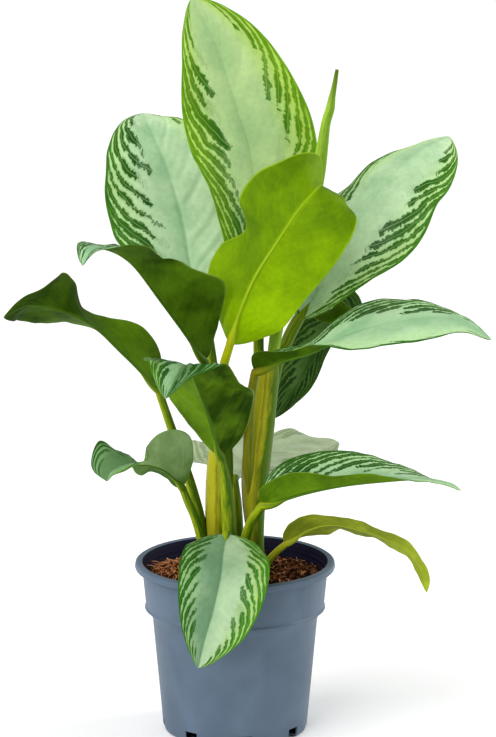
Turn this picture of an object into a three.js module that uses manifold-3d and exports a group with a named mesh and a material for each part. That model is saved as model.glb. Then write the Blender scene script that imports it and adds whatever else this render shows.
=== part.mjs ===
// Potted Chinese evergreen (Aglaonema): a tapered nursery pot filled with coir soil, two sheathed
// stems and fourteen broad leaves on petioles, with one new leaf still rolled up.
// Millimetres, +Z up, origin at the centre of the pot's underside, the plant's show side towards -Y.
import * as THREE from "three";
import { mergeVertices } from "three/addons/utils/BufferGeometryUtils.js";
import Module from "manifold-3d";

// ---- driving dimensions ------------------------------------------------------------------

const POT_HEIGHT = 147.5;
const RIM_RADIUS = 85; // over the rolled rim
const RIM_WIDTH = 6.2; // flat of the rim, seen from above
const COLLAR_TOP_RADIUS = 78.6; // straight band under the rim
const COLLAR_FOOT_RADIUS = 75.7;
const COLLAR_FOOT_Z = 108;
const BODY_TOP_RADIUS = 70;
const BODY_TOP_Z = 97;
const BODY_FOOT_RADIUS = 61.5;
const WALL = 1.6;
const FLOOR = 2.6;
const POT_SIDES = 40;
const RIM_DEPTH = 6.8; // the rolled rim's outer band
const RIM_ROUND = 2.4; // its upper edge
const RING_STAND = 1.4; // step ring between collar and body

const SLOT_COUNT = 8; // drain slots in the lower edge
const SLOT_WIDTH = 12;
const SLOT_HEIGHT = 10;
const SLOT_DEPTH = 12;
const SLOT_TURN = 8; // degrees that the first slot stands off +X

const SOIL_Z = 130; // stems and petioles start 24 below it
const SOIL_MOUND = 3.5; // how far the loose surface rolls up and down
const SOIL_HEAPS = [[-58, -8, 7], [60, 6, 6]]; // where it is heaped up: x, y and height
const HEAP_SPREAD = 600;
const SOIL_RINGS = 7;
const GAP = 0.35; // clearance between pieces that touch

const BLADE_THICKNESS = 0.9;
const BLADE_STEPS = 15; // along the midrib
const HALF_STATIONS = [0.07, 0.52, 1]; // from the midrib's ridge to the margin, in shares of a half
const STALK_SIDES = 8;
const STEM_SIDES = 12;
const RIB_DEPTH = 1.1; // ridge of the midrib under the blade's base, against the petiole's radius
const RIB_SHARE = 0.75; // share of the blade that the ridge runs along
const BELLY = 0.42; // share of the length where a blade is widest
const BLADE_CURL = -10; // degrees a half turns down between its midrib and its margin
const OUTLINE_RISE = 0.52; // how round a blade's base is
const TIP_HALF = 0.8; // half width that a blade keeps at its base and tip
const WAVE_LAG = 0.35; // how far the right margin's waves run behind the left's, in waves

const COLOURS = {
  pot: 0x66788a,
  soil: 0x6b3d22,
  stem: 0xb9bd3a,
  silver: 0xa9c79a,
  dark: 0x3f6b1d,
  young: 0x86ab05,
  faded: 0xb9c9a8,
};

// ---- the plant, by hand -------------------------------------------------------------------
// Each route is a list of points that a smooth curve passes through. A leaf has
//   stalk, thick: its petiole's route up to the blade, and radii along it
//   rib: the midrib's route from the blade's base to its tip
//   faces: which way the upper side looks, from base to tip
//   half: half of the blade's width at its widest, on a flat leaf
//   foldLeft, foldRight: degrees that each half is raised off the flat, from base to tip
//   spreadLeft, spreadRight: how full each half is against the common outline
//   wave: height, number and start of the waves of its margin
// Left and right are as seen from above with the tip pointing away.

const STEMS = {
  stem_left: {
    route: [[-15, 3, 106], [-15, 3, 130], [-15, 2, 173], [-13.5, 0, 209], [-12, -2, 240], [-10, -3, 257]],
    radii: [6, 7, 8.5, 10.4, 10.8, 8.5],
  },
  stem_right: {
    route: [
      [18, 8, 106], [18, 8, 130], [17, 8, 168], [16, 8, 198],
      [18, 8, 231], [23, 8, 268], [27, 8, 300], [28, 8, 318],
    ],
    radii: [6, 6.5, 6.5, 9, 11, 10.5, 9.5, 8.5],
  },
};

const LEAVES = {
  leaf_top: {
    stalk: [[24, 8, 290], [20, 9, 325]],
    thick: [4.5, 4.5, 4],
    rib: [
      [21, 14, 368], [19, 28, 427], [13, 38, 489], [2, 42, 527],
      [-11, 42, 569], [-25, 38, 601], [-36, 34, 622],
    ],
    faces: [[0.05, -1, 0.1]],
    half: 56,
    foldLeft: [20, 30, 40, 35, 25, 20, 10],
    foldRight: [0, 0, -5, 0, 0, 0, 0],
    spreadLeft: [0.6, 0.65, 0.72, 0.85, 1, 1, 1, 1, 1],
    spreadRight: [1, 1, 1, 1.05, 1.1, 1.1, 1.1],
    wave: [2, 3, 0],
    colour: "silver",
  },
  leaf_left_back: {
    stalk: [[-10, 4, 236], [-12, 8, 265], [-19, 14, 318]],
    thick: [4, 4.5, 4, 4],
    rib: [
      [-24, 22, 349], [-37, 38, 392], [-44, 50, 430], [-57, 62, 473],
      [-68, 74, 497], [-75, 92, 508], [-79, 116, 512],
    ],
    faces: [[0.1, -1, 0.2], [0.1, -1, 0.2], [0.1, -0.9, 0.5], [0.1, -0.6, 0.9]],
    half: 58,
    foldLeft: [10, 5, 5, 0],
    spreadLeft: [0.5, 0.6, 0.8, 1, 1.05, 1.1, 1.1, 1, 0.9],
    foldRight: [15, 10, 5, 5],
    wave: [2, 3, 0.2],
    colour: "silver",
  },
  leaf_right_high: {
    stalk: [[31, 10, 286], [36, 12, 314], [43, 15, 330]],
    thick: [4, 4.5, 4, 4],
    rib: [
      [55, 20, 353], [85, 34, 401], [102, 42, 425], [119, 52, 450],
      [136, 66, 470], [159, 88, 485], [184, 120, 491],
    ],
    faces: [[-0.25, -0.75, 0.5]],
    half: 52,
    foldLeft: [30, 25, 0, -25, -25, -20, -10],
    foldRight: [10, 8, 3, 0, 0, 0],
    spreadLeft: [0.9, 0.9, 0.9, 1, 0.85, 0.6, 0.6],
    spreadRight: [0.6, 0.65, 0.82, 0.98, 1.06, 1.05, 1.15, 1.2, 1.2],
    wave: [2, 3, 0.1],
    colour: "silver",
  },
  leaf_young: {
    stalk: [[-6, -3, 236], [-6, -8, 260], [-9, -20, 290], [-10, -30, 318]],
    thick: [4, 4.5, 4, 4, 3.5],
    rib: [
      [-4, -38, 343], [5, -46, 374], [18, -56, 406], [35, -65, 435],
      [52, -70, 462], [65, -66, 477], [71, -50, 479], [73, -34, 471], [71, -22, 458],
    ],
    faces: [
      [0.2, 0.95, 0.1], [0.2, 0.95, 0.1], [0.2, 0.95, 0.1], [0.15, 0.95, 0], [0.1, 0.95, 0],
      [0, 0.9, -0.3], [-0.3, 0.75, -0.5], [-0.85, 0, -0.3], [-0.8, -0.3, -0.5],
    ],
    half: 52,
    foldLeft: [20, 0, 0, 0, 0, -2, -16, -50, -30],
    foldRight: [50, 40, 45, 50, 30, 15, -10, -15, 0],
    spreadLeft: [1, 0.95, 0.9, 0.9, 0.96, 1.06, 1.14, 0.78, 0.8],
    spreadRight: [1.1, 1.4, 1.32, 0.95, 1.06, 1.1, 0.93, 0.78, 0.9],
    wave: [3, 2.5, 0.3],
    curl: 10,
    colour: "young",
  },
  leaf_left_upper: {
    stalk: [[-13, -5, 236], [-15, -12, 265], [-18, -22, 294]],
    thick: [4, 4.5, 4, 3.5],
    rib: [
      [-25, -28, 326], [-40, -40, 352], [-61, -54, 384], [-80, -68, 413], [-92, -84, 427],
      [-103, -100, 435], [-111, -110, 438], [-116, -116, 437], [-120, -119, 431], [-122, -120, 426],
    ],
    faces: [[0.3, 0.9, 0.4], [0.3, 0.9, 0.4], [0.2, 0.8, 0.7], [0, 0.1, 1], [-0.1, -0.4, 1]],
    half: 48,
    foldLeft: [65, 40, 22, 15, 10, 20, 20],
    foldRight: [55, 65, 75, 70, 50, 20, 0],
    spreadLeft: [0.75, 0.85, 1.08, 1.1, 0.82, 0.75, 0.9, 0.45, 0.3],
    spreadRight: [1, 1, 1, 0.9, 0.7, 0.5, 0.35, 0.8, 1],
    wave: [2, 4, 0.1],
    colour: "dark",
  },
  leaf_left_low: {
    stalk: [[-25, 5, 106], [-25, 5, 130], [-26, 4, 160], [-36, -2, 209], [-50, -8, 254]],
    thick: [4, 5, 5, 4.2, 3.8, 3.4],
    rib: [
      [-64, -12, 298], [-79, -18, 317], [-96, -26, 336], [-113, -36, 355],
      [-131, -48, 369], [-152, -62, 379], [-171, -78, 384], [-188, -92, 378],
    ],
    faces: [[0.3, 0.9, 0.4], [0.2, 0.8, 0.6]],
    half: 42,
    foldLeft: [85, 80, 85, 115, 120, 75, 45, 20, 10],
    foldRight: [60, 60, 60, 50, 30, 10, 0, 0, 0],
    spreadLeft: [1, 1, 0.9, 0.7, 0.6, 0.75, 0.95, 0.75, 0.5],
    spreadRight: [1, 1, 0.9, 0.7, 0.6, 0.65, 0.75, 1, 1],
    wave: [1, 3, 0.1],
    colour: "dark",
  },
  leaf_front_mid: {
    stalk: [[-3, -8, 106], [-3, -8, 130], [-4, -10, 158], [-6, -15, 194], [-8, -20, 222]],
    thick: [5, 6, 6.2, 5.8, 5, 3.8],
    rib: [
      [-12, -24, 243], [-17, -34, 263], [-23, -44, 287], [-30, -56, 310],
      [-37, -74, 331], [-42, -96, 338], [-49, -112, 330], [-56, -120, 316],
    ],
    faces: [[0.2, 0.95, 0.1], [0.2, 0.95, 0.2], [0.1, 0.5, 0.8], [-0.1, -0.3, 1], [-0.1, -0.6, 0.8]],
    half: 46,
    foldLeft: [40, 40, 15, 2, 10, 35],
    foldRight: [45, 35, 30, 20, 10, 10],
    spreadLeft: [1.05, 1, 0.96, 0.9, 0.86, 0.88, 0.9, 0.7, 0.7],
    spreadRight: [0.75, 0.78, 0.84, 0.9, 1, 1, 1, 1, 1],
    wave: [2, 3, 0.3],
    colour: "dark",
  },
  leaf_left_small: {
    stalk: [[-22, -9, 106], [-23, -9, 130], [-26, -10, 158], [-33, -14, 186], [-40, -18, 204]],
    thick: [4, 4.8, 4.6, 4, 3.6, 3.2],
    rib: [
      [-44, -22, 216], [-52, -28, 226], [-60, -38, 235], [-68, -52, 242], [-77, -64, 247],
      [-86, -76, 251], [-95, -86, 251], [-102, -91, 247], [-105, -93, 240],
    ],
    faces: [
      [-0.2, 0.9, 0.2], [-0.4, 0.85, 0.1], [-0.6, 0.8, 0], [-0.7, 0.7, 0], [-0.7, 0.7, 0],
      [-0.2, -0.4, 0.9], [-0.3, -0.8, 0.7], [-0.15, -0.9, 0.4], [-0.15, -0.9, 0.4],
    ],
    half: 30,
    foldLeft: [30, 10, 0, 8, 28, 38, 20, 20, 20],
    foldRight: [40, 70, 75, 60, 40, 25, 20, 10, 10],
    spreadLeft: [1.2, 1.3, 1.35, 1.05, 0.55, 0.3, 0.35, 0.4, 0.4],
    spreadRight: [0.5, 0.4, 0.4, 0.4, 0.4, 0.4, 0.75, 1.8, 2],
    wave: [1, 3, 0.1],
    colour: "dark",
  },
  leaf_right_mid: {
    stalk: [[12, 1, 200], [11, -4, 228], [12, -11, 265], [13, -17, 290]],
    thick: [3.5, 4.5, 4.5, 4, 3.8],
    rib: [
      [17, -23, 316], [35, -35, 328], [64, -54, 341], [96, -70, 360],
      [129, -84, 372], [161, -94, 378], [188, -100, 375], [209, -102, 361],
    ],
    faces: [[0, -0.3, 0.95]],
    half: 48,
    foldLeft: [70, 40, 15, 5, 0, -10, -15],
    foldRight: [100, 90, 35, 10, 5, 0, 10],
    spreadLeft: [0.3, 0.3, 0.35, 0.75, 1.15, 1.02, 0.88, 0.9, 0.9],
    spreadRight: [0.9, 0.28, 0.15, 0.5, 0.9, 1.05, 0.95, 0.8, 0.8],
    wave: [1.5, 3, 0.1],
    colour: "silver",
  },
  leaf_right_back: {
    stalk: [[27, 12, 262], [32, 18, 290], [38, 28, 318], [52, 38, 348]],
    thick: [3.5, 4.2, 4, 3.8, 3.4],
    rib: [
      [72, 46, 366], [84, 56, 362], [84, 68, 345], [75, 76, 324],
      [63, 80, 302], [50, 83, 276], [34, 84, 251],
    ],
    faces: [[0, 0.2, 1], [0.2, -0.8, 0.5], [0.3, -0.6, 0.6], [0.25, -0.8, 0.35], [0.2, -0.95, 0.1]],
    half: 27,
    foldLeft: [10],
    foldRight: [10],
    spreadLeft: [1, 1.15, 0.96, 0.45, 0.4, 0.54, 0.62, 0.6, 0.6],
    wave: [1, 3, 0.1],
    colour: "dark",
  },
  leaf_right_low: {
    stalk: [[6, -8, 106], [6, -8, 130], [7, -10, 158], [13, -19, 184]],
    thick: [4, 4.8, 4.6, 4.2, 3.8],
    rib: [
      [23, -30, 203], [54, -48, 218], [87, -64, 229], [120, -78, 236],
      [153, -88, 240], [175, -94, 238], [186, -96, 233],
    ],
    faces: [[0, -0.35, 0.95]],
    half: 46,
    foldLeft: [60, 35, 15, 5, -10, -25, -20],
    foldRight: [88, 88, 86, 80, 60, 30, 10],
    spreadLeft: [0.9, 1.05, 1, 1, 1, 0.9],
    spreadRight: [0.8, 0.55, 0.3, 0.25, 0.25, 0.4],
    wave: [1.5, 3, 0.1],
    colour: "silver",
  },
  leaf_right_yellow: {
    stalk: [[21, -8, 108], [22, -10, 130], [28, -20, 151], [35, -24, 161]],
    thick: [3, 3.4, 3.2, 3, 2.8],
    rib: [
      [43, -28, 169], [59, -32, 182], [80, -40, 190], [105, -48, 187],
      [128, -54, 180], [146, -58, 169], [156, -62, 154], [160, -64, 137],
    ],
    faces: [[0.1, 0.5, 0.85], [0.2, 0.5, 0.8], [0.5, 0.5, 0.5]],
    half: 21,
    foldLeft: [30, 10, 10, 10, 10, 15],
    foldRight: [20, 10, 10, 10, 10, 10],
    spreadLeft: [1.6, 1.9, 1.3, 1.2, 1.15, 1, 1, 1, 1],
    spreadRight: [1.3, 1.25, 1.1, 0.9, 0.8, 0.8, 0.85, 0.9, 1],
    wave: [1, 4, 0.1],
    colour: "young",
  },
  leaf_front: {
    stalk: [[-3, -22, 108], [-3, -22, 130], [-4, -24, 158], [-6, -30, 175]],
    thick: [3.8, 4.6, 4.4, 4, 3.6],
    rib: [
      [-7, -38, 180], [-10, -68, 168], [-12, -90, 155],
      [-18, -100, 130], [-25, -104, 106], [-30, -106, 84],
    ],
    faces: [[0, -0.5, 0.85], [0, -0.8, 0.5], [0, -1, 0.15]],
    half: 41,
    foldLeft: [10, 18, 22, 20, 15],
    foldRight: [10, 22, 28, 30, 20],
    spreadRight: [1, 0.95, 0.88, 0.88, 0.87, 0.85, 0.82, 0.7, 0.6],
    curl: -20,
    wave: [1, 3, 0.1],
    colour: "silver",
  },
  leaf_back: {
    stalk: [[4, 16, 106], [4, 16, 130], [3, 19, 158], [2, 24, 188]],
    thick: [4, 4.8, 4.6, 4, 3.6],
    rib: [[-1, 32, 211], [9, 70, 212], [28, 110, 214], [57, 140, 214], [89, 165, 211]],
    faces: [[0, -0.1, 1]],
    half: 58,
    foldLeft: [15],
    foldRight: [5],
    spreadLeft: [1, 1, 1, 0.95, 0.85, 0.7, 0.6, 0.6, 0.6],
    wave: [4, 4, 0.1],
    colour: "faded",
  },
};

// The newest leaf, rolled tight round itself, with a thin drawn-out tip.
const SPEAR = {
  route: [
    [30, 7, 292], [33, 7, 330], [42, 10, 379], [57, 14, 434],
    [69, 16, 476], [76, 18, 522], [82, 20, 547], [85, 20, 564],
  ],
  radii: [3.5, 4.5, 5, 6.5, 7, 5, 3, 1],
};

// ---- solids -------------------------------------------------------------------------------

const wasm = await Module();
wasm.setup();

// A closed geometry as a solid: positions only, shared vertices merged, collapsed faces dropped.
function solidOf(geometry) {
  const bare = new THREE.BufferGeometry().setAttribute("position", geometry.getAttribute("position"));
  bare.setIndex(geometry.index);
  const merged = mergeVertices(bare, 1e-4);
  const corners = merged.index.array;
  const kept = [];
  for (let i = 0; i < corners.length; i += 3) {
    const [a, b, c] = [corners[i], corners[i + 1], corners[i + 2]];
    if (a !== b && b !== c && c !== a) kept.push(a, b, c);
  }
  return new wasm.Manifold(
    new wasm.Mesh({
      numProp: 3,
      vertProperties: new Float32Array(merged.attributes.position.array),
      triVerts: new Uint32Array(kept),
    }),
  );
}

function geometryOf(solid) {
  const mesh = solid.getMesh();
  const positions = new Float32Array(mesh.numVert * 3);
  for (let i = 0; i < mesh.numVert; i++) {
    const at = i * mesh.numProp;
    positions.set(mesh.vertProperties.subarray(at, at + 3), i * 3);
  }
  const geometry = new THREE.BufferGeometry();
  geometry.setAttribute("position", new THREE.BufferAttribute(positions, 3));
  geometry.setIndex(new THREE.BufferAttribute(new Uint32Array(mesh.triVerts), 1));
  geometry.computeVertexNormals();
  return geometry;
}

// Cutting can leave a loose scrap beside the piece itself.
function largestBody(solid) {
  return solid.decompose().sort((a, b) => b.volume() - a.volume())[0];
}

// ---- curves -------------------------------------------------------------------------------

const radians = THREE.MathUtils.degToRad;

function smoothCurve(points) {
  const through = points.map((p) => new THREE.Vector3(...p));
  return new THREE.CatmullRomCurve3(through, false, "catmullrom", 0.5);
}

// A list of numbers, evenly spaced from 0 to 1, read at t on a smooth line through them.
function along(values, t) {
  if (values.length === 1) return values[0];
  const x = Math.min(Math.max(t, 0), 1) * (values.length - 1);
  const i = Math.min(Math.floor(x), values.length - 2);
  const f = x - i;
  const at = (k) => values[Math.min(Math.max(k, 0), values.length - 1)];
  const [p0, p1, p2, p3] = [at(i - 1), at(i), at(i + 1), at(i + 2)];
  const slope = -p0 + p2;
  const bend = 2 * p0 - 5 * p1 + 4 * p2 - p3;
  const twist = -p0 + 3 * p1 - 3 * p2 + p3;
  return 0.5 * (2 * p1 + slope * f + bend * f * f + twist * f * f * f);
}

function vectorAlong(vectors, t) {
  return new THREE.Vector3(...[0, 1, 2].map((k) => along(vectors.map((v) => v[k]), t)));
}

// ---- round pieces: stems, petioles and the rolled leaf ------------------------------------

// A closed tube along a curve: rings of points, with a fan at each end.
function tubeGeometry(curve, radiusAt, rings, sides) {
  const frames = curve.computeFrenetFrames(rings, false);
  const positions = [];
  const index = [];
  for (let i = 0; i <= rings; i++) {
    const centre = curve.getPointAt(i / rings);
    const radius = radiusAt(i / rings);
    for (let k = 0; k < sides; k++) {
      const turn = (2 * Math.PI * k) / sides;
      const out = frames.normals[i].clone().multiplyScalar(Math.cos(turn) * radius);
      out.addScaledVector(frames.binormals[i], Math.sin(turn) * radius);
      positions.push(...centre.clone().add(out).toArray());
    }
  }
  const at = (i, k) => i * sides + (k % sides);
  for (let i = 0; i < rings; i++) {
    for (let k = 0; k < sides; k++) {
      index.push(at(i, k), at(i, k + 1), at(i + 1, k + 1));
      index.push(at(i, k), at(i + 1, k + 1), at(i + 1, k));
    }
  }
  const foot = positions.length / 3;
  positions.push(...curve.getPointAt(0).toArray(), ...curve.getPointAt(1).toArray());
  for (let k = 0; k < sides; k++) {
    index.push(foot, at(0, k + 1), at(0, k));
    index.push(foot + 1, at(rings, k), at(rings, k + 1));
  }
  const geometry = new THREE.BufferGeometry();
  geometry.setAttribute("position", new THREE.Float32BufferAttribute(positions, 3));
  return geometry.setIndex(index);
}

function stemSolid(stem, extra = 0) {
  const radiusAt = (t) => along(stem.radii, t) + extra;
  return solidOf(tubeGeometry(smoothCurve(stem.route), radiusAt, 2 * stem.route.length, STEM_SIDES));
}

// The petiole as far as the blade's base. extra swells it, for the socket that it stands in.
function petioleSolid(leaf, extra = 0) {
  const route = [...leaf.stalk, leaf.rib[0]];
  const radiusAt = (t) => along(leaf.thick, t) + extra;
  return solidOf(tubeGeometry(smoothCurve(route), radiusAt, 2 * route.length, STALK_SIDES));
}

// ---- blades -------------------------------------------------------------------------------

// Half width against the widest: a rounded base and a drawn-out tip.
function outline(t) {
  const fall = (OUTLINE_RISE * (1 - BELLY)) / BELLY;
  return (t ** OUTLINE_RISE * (1 - t) ** fall) / (BELLY ** OUTLINE_RISE * (1 - BELLY) ** fall);
}

// The blade's middle surface at share t of the midrib and v from -1 (left margin) to 1 (right).
function bladePoint(leaf, midrib, t, v) {
  const centre = midrib.getPointAt(t);
  const tangent = midrib.getTangentAt(t);
  const up = vectorAlong(leaf.faces, t);
  up.addScaledVector(tangent, -up.dot(tangent)).normalize();
  const side = new THREE.Vector3().crossVectors(tangent, up);
  const left = v < 0;
  const reach = Math.abs(v);
  const half = Math.max(leaf.half * outline(t), TIP_HALF);
  const spread = along((left ? leaf.spreadLeft : leaf.spreadRight) ?? [1], t);
  const fold = along(left ? leaf.foldLeft : leaf.foldRight, t);
  const angle = radians(fold + ((leaf.curl ?? BLADE_CURL) * reach) / 2);
  const [height, count, start] = leaf.wave;
  const phase = count * t + start + (left ? 0 : WAVE_LAG);
  const fade = Math.min(1, (1.5 * half) / leaf.half);
  const lift = height * reach * reach * Math.sin(2 * Math.PI * phase) * fade;
  const distance = reach * half * spread;
  centre.addScaledVector(side, Math.sign(v) * distance * Math.cos(angle));
  return centre.addScaledVector(up, distance * Math.sin(angle) + lift);
}

// Two skins with the same triangles either side of the middle surface, and an edge all round. The
// lower one dips along the middle into the midrib's ridge, which runs out before the tip.
function bladeSolid(leaf) {
  const midrib = smoothCurve(leaf.rib);
  const stations = [...HALF_STATIONS.map((v) => -v).reverse(), 0, ...HALF_STATIONS];
  const across = stations.length - 1;
  const grid = [];
  const depths = [];
  for (let i = 0; i <= BLADE_STEPS; i++) {
    const t = i / BLADE_STEPS;
    const ridge = RIB_DEPTH * leaf.thick.at(-1) * Math.max(0, 1 - t / RIB_SHARE);
    for (const v of stations) {
      grid.push(bladePoint(leaf, midrib, t, v));
      depths.push(BLADE_THICKNESS / 2 + (v === 0 ? ridge : 0));
    }
  }
  const at = (i, j) => i * (across + 1) + j;
  const skin = [];
  for (let i = 0; i < BLADE_STEPS; i++) {
    for (let j = 0; j < across; j++) {
      skin.push([at(i, j), at(i, j + 1), at(i + 1, j + 1)]);
      skin.push([at(i, j), at(i + 1, j + 1), at(i + 1, j)]);
    }
  }
  const normals = grid.map(() => new THREE.Vector3());
  for (const [a, b, c] of skin) {
    const edge = new THREE.Vector3().subVectors(grid[b], grid[a]);
    const normal = edge.cross(new THREE.Vector3().subVectors(grid[c], grid[a]));
    for (const corner of [a, b, c]) normals[corner].add(normal);
  }
  normals.forEach((n) => n.normalize());
  const upper = grid.map((p, k) => p.clone().addScaledVector(normals[k], BLADE_THICKNESS / 2));
  const lower = grid.map((p, k) => p.clone().addScaledVector(normals[k], -depths[k]));
  const count = grid.length;
  const index = [];
  for (const [a, b, c] of skin) index.push(a, b, c, a + count, c + count, b + count);
  const border = [];
  for (let j = 0; j < across; j++) border.push(at(0, j));
  for (let i = 0; i < BLADE_STEPS; i++) border.push(at(i, across));
  for (let j = across; j > 0; j--) border.push(at(BLADE_STEPS, j));
  for (let i = BLADE_STEPS; i > 0; i--) border.push(at(i, 0));
  border.forEach((a, k) => {
    const b = border[(k + 1) % border.length];
    index.push(b, a, a + count, b, a + count, b + count);
  });
  const geometry = new THREE.BufferGeometry().setFromPoints([...upper, ...lower]);
  return solidOf(geometry.setIndex(index));
}

function leafSolid(leaf) {
  return petioleSolid(leaf).add(bladeSolid(leaf));
}

// ---- pot and soil -------------------------------------------------------------------------

function latheSolid(profile) {
  const points = profile.map(([r, z]) => new THREE.Vector2(r, z));
  return solidOf(new THREE.LatheGeometry(points, POT_SIDES).rotateX(Math.PI / 2));
}

// Inside face of the wall, from the floor up, without the rim.
const INSIDE = [
  [BODY_FOOT_RADIUS - WALL, FLOOR],
  [BODY_TOP_RADIUS - WALL, BODY_TOP_Z],
  [COLLAR_FOOT_RADIUS - WALL, COLLAR_FOOT_Z],
  [RIM_RADIUS - RIM_WIDTH - 1, POT_HEIGHT - 6],
];

function potSolid() {
  const outside = [
    [0, 0],
    [BODY_FOOT_RADIUS - 3.5, 0],
    [BODY_FOOT_RADIUS - 1, 1.2],
    [BODY_FOOT_RADIUS, 4],
    [BODY_TOP_RADIUS, BODY_TOP_Z],
    [BODY_TOP_RADIUS + RING_STAND, BODY_TOP_Z + 4.5],
    [COLLAR_FOOT_RADIUS - 1, COLLAR_FOOT_Z - 2.5],
    [COLLAR_FOOT_RADIUS, COLLAR_FOOT_Z],
    [COLLAR_TOP_RADIUS, POT_HEIGHT - RIM_DEPTH - 2.2],
    [RIM_RADIUS - RIM_ROUND / 2, POT_HEIGHT - RIM_DEPTH],
    [RIM_RADIUS, POT_HEIGHT - RIM_DEPTH + RIM_ROUND],
    [RIM_RADIUS - RIM_ROUND / 4, POT_HEIGHT - RIM_ROUND / 2],
    [RIM_RADIUS - RIM_ROUND, POT_HEIGHT],
    [RIM_RADIUS - RIM_WIDTH, POT_HEIGHT - 0.6],
  ];
  let pot = latheSolid([...outside, ...[...INSIDE].reverse(), [0, FLOOR]]);
  const step = (2 * Math.PI) / SLOT_COUNT;
  for (let k = 0; k < SLOT_COUNT; k++) {
    const slot = new THREE.BoxGeometry(SLOT_DEPTH, SLOT_WIDTH, 2 * SLOT_HEIGHT);
    slot.translate(BODY_FOOT_RADIUS - 3, 0, 0);
    slot.rotateZ(radians(SLOT_TURN) + k * step);
    pot = pot.subtract(solidOf(slot));
  }
  return pot;
}

// Loose, uneven surface: a few crossing waves, heaped up at the left and the right, still at the wall.
function soilLift(x, y, wallShare) {
  const waves = Math.sin(x / 9 + y / 13) + Math.sin(y / 7 - x / 17) + Math.sin((x + y) / 5) / 2;
  let lift = SOIL_MOUND * (waves / 4 + 0.5);
  for (const [u, v, height] of SOIL_HEAPS) {
    lift += height * Math.exp(-((x - u) ** 2 + (y - v) ** 2) / HEAP_SPREAD);
  }
  return lift * (1 - wallShare ** 16);
}

function soilSolid() {
  const surface = SOIL_Z;
  const [low, high] = [INSIDE[2], INSIDE[3]];
  const share = (surface - low[1]) / (high[1] - low[1]);
  const edge = THREE.MathUtils.lerp(low[0], high[0], share) - GAP;
  const profile = [[0, FLOOR + GAP]];
  for (const [r, z] of INSIDE.slice(0, 3)) profile.push([r - GAP, z + (z === FLOOR ? GAP : 0)]);
  for (let i = 0; i <= SOIL_RINGS; i++) profile.push([edge * (1 - i / SOIL_RINGS), surface]);
  const points = profile.map(([r, z]) => new THREE.Vector2(r, z));
  const geometry = new THREE.LatheGeometry(points, POT_SIDES).rotateX(Math.PI / 2);
  const place = geometry.getAttribute("position");
  for (let i = 0; i < place.count; i++) {
    if (place.getZ(i) < surface - 0.01) continue;
    const [x, y] = [place.getX(i), place.getY(i)];
    place.setZ(i, surface + soilLift(x, y, Math.hypot(x, y) / edge));
  }
  return solidOf(geometry);
}

// ---- assembly -----------------------------------------------------------------------------

const solids = new Map();
const colours = new Map();

function keep(name, solid, colour) {
  solids.set(name, solid);
  colours.set(name, COLOURS[colour]);
}

keep("pot", potSolid(), "pot");

// Petioles stand whole. Stems and soil get a socket round each, and where two petioles press on
// each other the later one is flattened.
let sockets = [];
for (const [name, leaf] of Object.entries(LEAVES)) {
  let solid = leafSolid(leaf);
  for (const socket of sockets) solid = solid.subtract(socket);
  keep(name, largestBody(solid), leaf.colour);
  sockets.push(petioleSolid(leaf, GAP));
}
let spear = stemSolid(SPEAR);
for (const socket of sockets) spear = spear.subtract(socket);
keep("leaf_rolled", largestBody(spear), "young");
sockets.push(stemSolid(SPEAR, GAP));
for (const [name, stem] of Object.entries(STEMS)) {
  let solid = stemSolid(stem);
  for (const socket of sockets) solid = solid.subtract(socket);
  keep(name, largestBody(solid), "stem");
}
for (const stem of Object.values(STEMS)) sockets.push(stemSolid(stem, GAP));
let soil = soilSolid();
for (const socket of sockets) soil = soil.subtract(socket);
keep("soil", largestBody(soil), "soil");

const plant = new THREE.Group();
for (const [name, solid] of solids) {
  const color = colours.get(name);
  const material = new THREE.MeshStandardMaterial({ color, roughness: 0.5, metalness: 0 });
  const mesh = new THREE.Mesh(geometryOf(solid), material);
  mesh.name = name;
  plant.add(mesh);
}

export default plant;
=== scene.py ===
"""Potted Chinese evergreen: silver and green leaves on long petioles, sheathed stems, coir soil and a pot."""

import math
from functools import partial

import bpy
import numpy as np
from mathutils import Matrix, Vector


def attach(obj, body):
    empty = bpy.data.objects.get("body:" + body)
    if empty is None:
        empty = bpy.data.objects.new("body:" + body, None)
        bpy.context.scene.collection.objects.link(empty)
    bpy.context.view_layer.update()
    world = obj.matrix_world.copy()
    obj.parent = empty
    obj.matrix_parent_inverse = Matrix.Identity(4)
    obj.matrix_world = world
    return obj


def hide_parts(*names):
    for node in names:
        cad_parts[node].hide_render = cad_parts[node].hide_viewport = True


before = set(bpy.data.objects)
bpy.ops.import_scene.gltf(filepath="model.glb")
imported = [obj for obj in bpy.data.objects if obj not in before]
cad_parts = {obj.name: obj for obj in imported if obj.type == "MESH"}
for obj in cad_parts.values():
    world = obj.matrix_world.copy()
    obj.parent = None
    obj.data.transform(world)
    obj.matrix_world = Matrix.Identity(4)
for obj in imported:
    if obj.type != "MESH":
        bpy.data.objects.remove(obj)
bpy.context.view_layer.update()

MM = 0.001  # the tables below are in millimetres, and Blender's meshes in metres
SEED = 7

# ---- the pot and the soil, in mm ------------------------------------------------------------

POT_HEIGHT = 147.5
RIM_RADIUS = 85
RIM_WIDTH = 6.2
RIM_DEPTH = 6.8
RIM_ROUND = 2.4
COLLAR_TOP_RADIUS = 78.6
COLLAR_FOOT_RADIUS = 75.7
COLLAR_FOOT_Z = 108
BODY_TOP_RADIUS = 70
BODY_TOP_Z = 97
BODY_FOOT_RADIUS = 61.5
RING_STAND = 1.4
BEAD = 1.0  # round the collar's foot
WALL = 1.6
FLOOR = 2.6
LID_RADIUS = 0.5  # of the small lids that close the wall's two ends on the axis
POT_SIDES = 192
SHARP_FROM = 38  # degrees between two faces, past which their edge is shaded sharp

SLOT_COUNT = 8
SLOT_WIDTH = 12
SLOT_HEIGHT = 10
SLOT_DEPTH = 12
SLOT_TURN = 8  # degrees that the first slot stands off +X

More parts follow.
